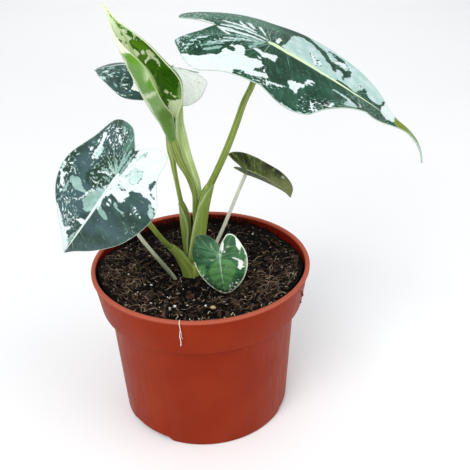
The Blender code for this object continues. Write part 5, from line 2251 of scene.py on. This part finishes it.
YOUNG_INSIDE = (
    *patches(
        Tone.WHITE,
        ((70, 0), (70, 3), (64, 7.5), (60, 13), (57.5, 18), (55, 22), (51.5, 27), (50, 24), (50.5, 20.5),
         (47.5, 20), (44, 24.5), (41.5, 24.5), (42, 18), (47, 13.5), (52, 9.5), (57, 4), (62, 1)),
    ),
    *strokes(Tone.GREEN, 0.45, ((65, 3.8), (62, 5.6), (59.5, 8.3), (57, 11.5), (56, 15.5), (53.5, 19))),
    *patches(
        Tone.DARK,
        ((56, 15.5), (55, 19), (52, 20.5), (51, 22), (52.2, 18.5), (54, 16.5)),
        ((55, 13), (54, 15), (52.6, 16), (53.2, 14)),
        ((50, 17.5), (49.4, 19), (48, 18.8), (48.8, 17.4)),
        ((53.5, 10.8), (52.4, 12.6), (51.8, 14.4), (52.6, 12)),
        ((59, 9.4), (58, 11.2), (56.8, 11), (57.8, 9)),
        ((52.6, 22), (51.6, 25), (50.4, 24), (51.4, 21.6)),
        ((57, 19), (55.8, 21.4), (54.6, 20.4), (55.8, 18.4)),
        ((51.2, 13.6), (50.2, 15.8), (49, 15), (50, 13)),
        ((48.4, 15.4), (47.4, 17.6), (46.2, 17), (47.2, 15)),
    ),
    *patches(
        Tone.GREEN,
        ((50, 21), (49.5, 25), (48, 28), (45, 30.5), (43, 29), (40.5, 27.5), (42.5, 25.5), (44.5, 24.3),
         (47, 21)),
        ((42, 24.5), (38, 27.5), (30, 28), (24, 26), (20, 24), (22, 27), (28, 29.6), (35, 29.4),
         (40, 27)),
    ),
    *strokes(Tone.DARK, 0.5, ((47.6, 20.6), (46, 23.4), (43.4, 25))),
    *strokes(
        Tone.WHITE, 0.9,
        ((44.5, 26.8), (42.3, 26.2)),
        ((38, 28), (39.8, 28.8), (41.3, 30.5), (41, 32.5), (38.8, 34), (36, 35)),
    ),
    *patches(Tone.MINT, ((45, 28.5), (44, 31.5), (41.5, 32.5), (41, 30), (43, 28.6))),
    *strokes(Tone.GREEN, 0.35, ((36, 34.5), (31.5, 31.5), (26, 28.5))),
    *strokes(
        Tone.MINT, 0.32,
        ((24.2, 31.5), (22.5, 29)),
        ((22.5, 31), (21.8, 28.5)),
        ((23, 32.8), (21.8, 31)),
        ((19.5, 28), (18.6, 25.8)),
        ((21.5, 35), (20.6, 31.5)),
    ),
    *patches(
        Tone.MINT,
        ((20.8, 38), (19.5, 32), (19, 28.5), (17.5, 24.5), (15, 21), (11.5, 18), (11, 23), (13, 28),
         (15.2, 34)),
    ),
    *patches(Tone.SAGE, ((28, 45), (24, 43), (21, 39), (20.5, 35.5), (22, 36), (26, 40), (29, 42.5))),
    *strokes(
        Tone.MINT, 1.3,
        ((13, 27), (21, 43), (31.5, 52), (41.5, 42.7), (51, 30.3), (60.5, 9.6), (68, 1.7)),
    ),
)


# The plant's own pieces


BLADES = (
    LeafBlade(
        name="leaf_left", node="blade_left", length=0.0573, junction=(-0.0355, -0.0460, 0.1635),
        heading=188, pitch=-52, roll=-58, droop=34, curl_tip=1, sweep=-10, twist=-2, lobe_droop=22,
        fold=(-5, 7), curl=(-10, -6), sinus=0.25,
        left=((-0.31, 0.06), (-0.37, 0.14), (-0.35, 0.24), (-0.16, 0.28), (0.07, 0.42), (0.40, 0.36),
              (0.67, 0.21), (0.86, 0.07)),
        right=((-0.30, 0.04), (-0.38, 0.13), (-0.35, 0.26), (-0.15, 0.32), (0.12, 0.41), (0.39, 0.37),
               (0.66, 0.20), (0.85, 0.07)),
        rows=130, columns=34, rib_width=0.013,
        marks=LEFT_MARKS,
    ),
    LeafBlade(
        name="leaf_right", node="blade_right", length=0.1048, junction=(0.0379, -0.0080, 0.2108),
        heading=-5, pitch=-30, roll=8, droop=9, curl_tip=44, sweep=4, twist=10, lobe_droop=58,
        fold=(4, -7), curl=(-14, -11), sinus=0.26,
        left=((-0.34, 0.04), (-0.445, 0.115), (-0.36, 0.31), (-0.14, 0.32), (0.11, 0.345), (0.33, 0.27),
              (0.575, 0.155), (0.69, 0.03), (0.85, 0.010)),
        right=((-0.34, 0.075), (-0.44, 0.09), (-0.34, 0.30), (-0.155, 0.33), (0.11, 0.375), (0.32, 0.26),
               (0.56, 0.12), (0.71, 0.04), (0.85, 0.012)),
        wave=((-0.0105, -0.0055, -0.001, 0.0045, 0.001, 0.0), (-0.005, 0.001, -0.004, 0.029, 0.0, 0.0)),
        rib=0.0024, rib_reach=0.6, rows=190, columns=44,
        marks=RIGHT_MARKS,
    ),
    LeafBlade(
        name="leaf_back", node="blade_back", length=0.0425, junction=(-0.0092, 0.0379, 0.1891),
        heading=197, pitch=18, roll=-23, droop=31, curl_tip=8, sweep=1, twist=-6, lobe_droop=-2,
        fold=(-36, -36), curl=(-11, -7), sinus=0.07,
        left=((-0.30, 0.012), (-0.45, 0.035), (-0.465, 0.14), (-0.37, 0.36), (-0.16, 0.48), (0.10, 0.42),
              (0.38, 0.46), (0.72, 0.40), (0.94, 0.15)),
        right=((-0.26, 0.02), (-0.40, 0.14), (-0.36, 0.35), (-0.16, 0.47), (0.10, 0.39), (0.38, 0.44),
               (0.71, 0.38), (0.93, 0.14)),
        rows=100, columns=26,
        marks=BACK_MARKS,
    ),
    LeafBlade(
        name="leaf_front", node="blade_front", length=0.0290, junction=(0.0094, -0.0371, 0.1143),
        heading=257, pitch=-100, roll=-1, droop=16, curl_tip=1, sweep=2, twist=0, lobe_droop=11,
        fold=(7, 9), curl=(-10, -10), sinus=0.075,
        left=((-0.22, 0.03), (-0.415, 0.06), (-0.47, 0.26), (-0.17, 0.45), (0.115, 0.48), (0.415, 0.415),
              (0.69, 0.285), (0.92, 0.12)),
        right=((-0.23, 0.015), (-0.41, 0.145), (-0.43, 0.355), (-0.175, 0.45), (0.09, 0.45),
               (0.415, 0.375), (0.67, 0.265), (0.915, 0.11)),
        rib=0.0015, rows=90, columns=26, vein_depth=0.0004, rib_width=0.010, margin=0.0005,
        lobe_margins=(0.0004, -0.0004),
        marks=FRONT_MARKS,
    ),
    LeafBlade(
        name="leaf_side", node="blade_side", length=0.0302, junction=(0.0270, 0.0041, 0.1420), heading=8,
        pitch=-27, roll=5, droop=17, curl_tip=12, sweep=-5, twist=3, lobe_droop=3, fold=(33, 13),
        curl=(-7, -14), sinus=0.10,
        left=((-0.22, 0.07), (-0.40, 0.13), (-0.34, 0.24), (-0.14, 0.32), (0.09, 0.33), (0.38, 0.31),
              (0.67, 0.30), (0.94, 0.20)),
        right=((-0.22, 0.07), (-0.32, 0.18), (-0.30, 0.23), (-0.15, 0.36), (0.09, 0.35), (0.38, 0.31),
               (0.65, 0.22), (0.90, 0.15)),
        rows=80, columns=20, rib_width=0.012,
        marks=SIDE_MARKS,
    ),
    LeafBlade(
        name="leaf_low", node="blade_low", length=0.0200, junction=(-0.0370, -0.0212, 0.1436),
        heading=165, pitch=-40, roll=-20, droop=20, curl_tip=5, sweep=0, twist=0, lobe_droop=10,
        fold=(6, 6), curl=(-8, -8), sinus=0.12,
        left=((-0.24, 0.04), (-0.38, 0.13), (-0.34, 0.26), (-0.15, 0.33), (0.10, 0.37), (0.39, 0.32),
              (0.66, 0.20), (0.88, 0.08)),
        right=((-0.24, 0.04), (-0.38, 0.13), (-0.34, 0.26), (-0.15, 0.33), (0.10, 0.37), (0.39, 0.32),
               (0.66, 0.20), (0.88, 0.08)),
        rows=70, columns=18,
        marks=LOW_MARKS,
    ),
)

CROWN_STEMS = (
    Stem(
        "crown_stump",
        ((-0.0053, 0.0, 0.064, 0.0040), (-0.0053, 0.0, 0.076, 0.0044), (-0.0050, 0.0, 0.086, 0.0041),
         (-0.0050, 0.0, 0.0895, 0.0030)),
        "stalk",
        ("crown",),
    ),
    Stem(
        "right_sheath",
        ((-0.0046, 0.0008, 0.076, 0.0036), (-0.0030, 0.0012, 0.092, 0.0039),
         (-0.0005, 0.0015, 0.107, 0.0038), (0.0020, 0.0016, 0.121, 0.0035),
         (0.0034, 0.0014, 0.127, 0.0032), (0.0052, 0.0009, 0.1325, 0.0027),
         (0.0068, 0.0005, 0.1358, 0.0020)),
        "stalk",
        (),
        (0.0, 0.5, 0.9, 1.0),
    ),
    Stem(
        "left_sheath",
        ((-0.0060, -0.0005, 0.076, 0.0036), (-0.0075, -0.0015, 0.087, 0.0036),
         (-0.0097, -0.0025, 0.093, 0.0032), (-0.0119, -0.0040, 0.098, 0.0027),
         (-0.0143, -0.0060, 0.102, 0.0022), (-0.0160, -0.0080, 0.105, 0.0017)),
        "stalk",
        (),
        (0.3, 0.7, 0.9),
    ),
    Stem(
        "back_sheath",
        ((-0.0058, 0.0025, 0.078, 0.0028), (-0.0068, 0.0040, 0.094, 0.0018),
         (-0.0070, 0.0045, 0.102, 0.0021), (-0.0069, 0.0052, 0.109, 0.0026),
         (-0.0071, 0.0062, 0.115, 0.0027), (-0.0079, 0.0070, 0.120, 0.0020),
         (-0.0088, 0.0077, 0.123, 0.0015)),
        "stalk",
        (),
        (0.0, 0.2, 0.1, 0.0),
    ),
)

GREEN_STEMS = (
    Stem(
        "stalk_right",
        ((0.0060, 0.0008, 0.134, 0.0020), (0.0097, -0.0002, 0.142, 0.0018),
         (0.0152, -0.0025, 0.155, 0.0018), (0.0204, -0.0045, 0.169, 0.0017),
         (0.0247, -0.0065, 0.182, 0.0016), (0.0284, -0.0075, 0.190, 0.0015),
         (0.0318, -0.0080, 0.199, 0.0015), (0.0362, -0.0078, 0.2071, 0.0014),
         (0.0374, -0.0080, 0.2091, 0.0011)),
        "stalk",
        ("petiole_right",),
    ),
    Stem(
        "stalk_left",
        ((-0.0154, -0.0070, 0.104, 0.0015), (-0.0174, -0.0120, 0.109, 0.0014),
         (-0.0208, -0.0220, 0.120, 0.0013), (-0.0240, -0.0310, 0.131, 0.0013),
         (-0.0274, -0.0375, 0.141, 0.0013), (-0.0322, -0.0405, 0.155, 0.0013),
         (-0.0345, -0.0432, 0.1624, 0.0013), (-0.0352, -0.0452, 0.1633, 0.0012)),
        "stalk",
        ("petiole_left",),
    ),
    Stem(
        "stalk_back",
        ((-0.0083, 0.0072, 0.1215, 0.0015), (-0.0092, 0.0082, 0.1245, 0.0013),
         (-0.0107, 0.0120, 0.133, 0.0012), (-0.0117, 0.0150, 0.139, 0.0014),
         (-0.0124, 0.0180, 0.144, 0.0016), (-0.0137, 0.0220, 0.150, 0.0017),
         (-0.0139, 0.0300, 0.166, 0.0014), (-0.0106, 0.0389, 0.1859, 0.0012),
         (-0.0098, 0.0385, 0.1885, 0.0011)),
        "stalk",
        ("petiole_back",),
    ),
    Stem(
        "stalk_young",
        ((-0.0016, 0.0012, 0.112, 0.0015), (-0.0016, 0.0010, 0.121, 0.0015),
         (-0.0013, 0.0004, 0.130, 0.0015), (-0.0024, 0.0002, 0.1355, 0.0015),
         (-0.0036, 0.0, 0.140, 0.0016), (-0.0054, 0.0, 0.1448, 0.0018), (-0.0076, 0.0, 0.149, 0.0020),
         (-0.0091, 0.0, 0.154, 0.0022), (-0.0104, 0.0, 0.1600, 0.0021),
         (-0.0116, -0.0001, 0.1650, 0.0018), (-0.0124, -0.0002, 0.1690, 0.0012)),
        "stalk",
        ("petiole_young",),
    ),
)

PALE_STEMS = (
    Stem(
        "stalk_side",
        ((0.0030, 0.0122, 0.072, 0.0012), (0.0045, 0.0118, 0.083, 0.0012),
         (0.0082, 0.0110, 0.093, 0.0011), (0.0136, 0.0096, 0.106, 0.0010),
         (0.0224, 0.0060, 0.130, 0.0010), (0.0261, 0.0042, 0.1399, 0.0010),
         (0.0268, 0.0040, 0.1416, 0.0009)),
        "pale_stalk",
        ("petiole_side",),
        (0.5, 0.85, 0.9, 0.65),
    ),
    Stem(
        "stalk_front",
        ((0.0062, -0.0080, 0.072, 0.0012), (0.0066, -0.0085, 0.084, 0.0012),
         (0.0076, -0.0130, 0.098, 0.0011), (0.0090, -0.0240, 0.110, 0.0010),
         (0.0098, -0.0347, 0.1146, 0.0010), (0.0095, -0.0364, 0.1145, 0.0009)),
        "pale_stalk",
        ("petiole_front",),
    ),
    Stem(
        "stalk_low",
        ((-0.0125, -0.0020, 0.072, 0.0012), (-0.0147, -0.0050, 0.083, 0.0011),
         (-0.0200, -0.0130, 0.097, 0.0011), (-0.0253, -0.0200, 0.110, 0.0010),
         (-0.0303, -0.0250, 0.122, 0.0010), (-0.0340, -0.0255, 0.132, 0.0010),
         (-0.0358, -0.0218, 0.1415, 0.0010), (-0.0366, -0.0214, 0.1432, 0.0009)),
        "pale_stalk",
        ("petiole_low",),
        (0.0, 0.1, 0.7, 1.0),
    ),
)

SPEAR = Stem(
    "rolled_spear",
    ((0.0020, 0.0035, 0.1215, 0.0010), (0.0010, 0.0040, 0.131, 0.0014), (-0.0004, 0.0050, 0.137, 0.0021),
     (-0.0031, 0.0065, 0.144, 0.0028), (-0.0054, 0.0080, 0.151, 0.0033),
     (-0.0067, 0.0090, 0.1595, 0.0031), (-0.0072, 0.0105, 0.167, 0.0022),
     (-0.0064, 0.0120, 0.1725, 0.0013), (-0.0055, 0.0130, 0.177, 0.0004)),
    "pale_stalk",
    ("spear",),
    sides=28,
    groove=0.22,
    groove_turn=0.1,
)

SHEATH_WINGS = (
    SheathWing(
        "right_sheath_wing",
        ((-0.0030, 0.0012, 0.092, 0.0041, -60, 150), (-0.0005, 0.0015, 0.107, 0.0040, -60, 145),
         (0.0020, 0.0016, 0.121, 0.0037, -60, 135), (0.0034, 0.0014, 0.127, 0.0035, -50, 120),
         (0.0052, 0.0009, 0.1325, 0.0030, -40, 100), (0.0068, 0.0005, 0.1370, 0.0023, -20, 70)),
    ),
    SheathWing(
        "back_sheath_wing",
        ((-0.0068, 0.0040, 0.094, 0.0021, 90, 240), (-0.0070, 0.0045, 0.102, 0.0025, 80, 250),
         (-0.0069, 0.0052, 0.109, 0.0030, 70, 260), (-0.0071, 0.0062, 0.115, 0.0030, 80, 250),
         (-0.0079, 0.0070, 0.120, 0.0023, 100, 230), (-0.0087, 0.0074, 0.1228, 0.0017, 120, 205)),
    ),
)


def build_soil(pot: NurseryPot) -> None:
    """Fills the pot."""
    soil = PottingSoil(pot)
    peat = CrumbFinish("damp_peat", dark="040302", light="4a382b", size=1.6, relief=0.5).build()
    wood = CrumbFinish("wood_splinter", "2a1e16", "ccb89e", size=1.4, roughness=0.8, relief=0.1).build()
    bark = CrumbFinish("composted_bark", "2a1810", "7c5038", size=1.0, roughness=0.8).build()
    grit = CrumbFinish("grit_stone", "7a6848", "c8b48c", size=1.0, roughness=0.7, relief=0.1).build()
    perlite = CrumbFinish("perlite", "cfcabc", "f7f5ee", size=0.8, roughness=0.85, relief=0.15).build()
    fibre = CrumbFinish("coir_fibre", "2a1c15", "a88e76", size=1.5, roughness=0.75, relief=0.05).build()
    soil.build_bed(peat)
    soil.build_crumbs(peat)
    soil.build_stray_dirt(peat)
    soil.build_splinters(wood)
    soil.build_bark(bark)
    soil.build_stone(grit)
    soil.build_perlite(perlite)
    soil.build_fibres(fibre)
    soil.build_root_thread(perlite)


def build_stems() -> None:
    """Makes the crown, the petioles, the rolled spear and the sheaths' free edges."""
    for finish, pieces in (
        (StemFinish("sheath_skin", foot="7e9040", top="a0b45c", line="566f18"), CROWN_STEMS),
        (StemFinish("petiole_skin", foot="80933a", top="9aa856", line="587016"), GREEN_STEMS),
        (StemFinish("pale_petiole_skin", foot="9aa67c", top="eeeede", line="cdd2b4"), PALE_STEMS),
        (StemFinish("rolled_leaf_skin", foot="a9c46a", top="c9db94", line="e2f0b8", roughness=0.4), (SPEAR,)),
        (StemFinish("sheath_margin", foot="8fa44a", top="d6e2ac", line="607c22"), SHEATH_WINGS),
    ):
        material = finish.build()
        for piece in pieces:
            piece.build(material)


def build_leaves() -> None:
    """Makes the open blades, each with the finish of its age and light, and the young leaf."""
    dusky = tone_set("5f8468", "8a9450", "8fac94", "c4d8c4", "e6f0e2")
    slate = tone_set("446a5c", "1c3a2a", "84a69c", "b4d2cc", "d8e4e2")
    fresh = tone_set("578c50", "6b7040", "5c8c66", "dfe8c8", "f4faf0")
    young = tone_set("5f9420", "5f8436", "86a96c", "c2d4a4", "eef4d4")
    # painted light: the back leaf's white is brighter than the slate leaf's, against the shade of the leaves
    # above
    bright = {**slate, Tone.WHITE: "f6faf4"}
    shaded = {**fresh, Tone.GREEN: "5c6a2c", Tone.SAGE: "98a478"}
    olive = {**dusky, Tone.SAGE: "7a7c58"}
    # the inside's tones are paler than the outside's, partly painted light on the scroll's shaded inside
    inner = {**young, Tone.GREEN: "6c9c20", Tone.MINT: "e6f6c6", Tone.WHITE: "ecfdd6"}

    under = LeafFinish("blade_underside", "55755c", "6a8a6c", dusky, roughness=0.55, streaks=0.3).build()
    velvet = LeafFinish("velvet_leaf", "1b3a2a", "29503f", rib="d2e4b8", shine=0.10, sheen=0.04).build()
    finishes = {
        "leaf_left": LeafFinish(
            # leaf_left's blue grey ground is partly the leaf's own tone and partly painted sheen of the sky
            # it faces
            "slate_velvet_leaf", "20392f", "3d575a", slate, rib="d4e6dc", shine=0.3, sheen=0.16,
            streaks=0.25, sprinkle=0.8, blur=0.18,
        ).build(),
        "leaf_right": velvet,
        "leaf_back": LeafFinish(
            "pale_velvet_leaf", "203c34", "3e5a5a", bright, rib="d4e6dc", streaks=0.2, sprinkle=0.8,
        ).build(),
        "leaf_front": LeafFinish(
            "fresh_leaf", "1c4426", "326240", fresh, rib="a8ccb0", vein="7aa684", margin="e6eed0",
            shine=0.4, streaks=0.4, blur=0.25,
        ).build(),
        "leaf_side": LeafFinish(
            "olive_leaf", "1e2608", "465220", shaded, rib="a0ac70", vein="8a9458", margin="8a8f60",
            streaks=0.9, blur=0.7,
        ).build(),
        "leaf_low": velvet,
    }
    olive_under = LeafFinish(
        "olive_underside", "4a4c30", "62623f", olive, margin="5a5a3c", roughness=0.5, streaks=0.2,
    ).build()
    for blade in BLADES:
        blade.build(finishes[blade.name], olive_under if blade.name == "leaf_side" else under)

    outer_side = LeafFinish(
        "young_leaf_outside", "6f9454", "90b074", young, margin="e4eec0", streaks=0.3, blur=0.5,
        prefix="out_",
    ).build()
    inner_side = LeafFinish(
        "young_leaf_inside", "2f6408", "528c0c", inner, margin="d4e4a4", streaks=0.3, glow=0.6, prefix="in_",
    ).build()
    UnrollingLeaf(outside=YOUNG_OUTSIDE, inside=YOUNG_INSIDE).build(outer_side, inner_side)


def main() -> None:
    """Builds the studio and the potted plant, and logs how many faces each piece has."""
    logging.basicConfig(level=logging.INFO, format="%(message)s")
    Studio().build()
    pot = NurseryPot()
    pot.build(PotFinish().build())
    build_soil(pot)
    build_stems()
    build_leaves()


if __name__ == "__main__":
    main()
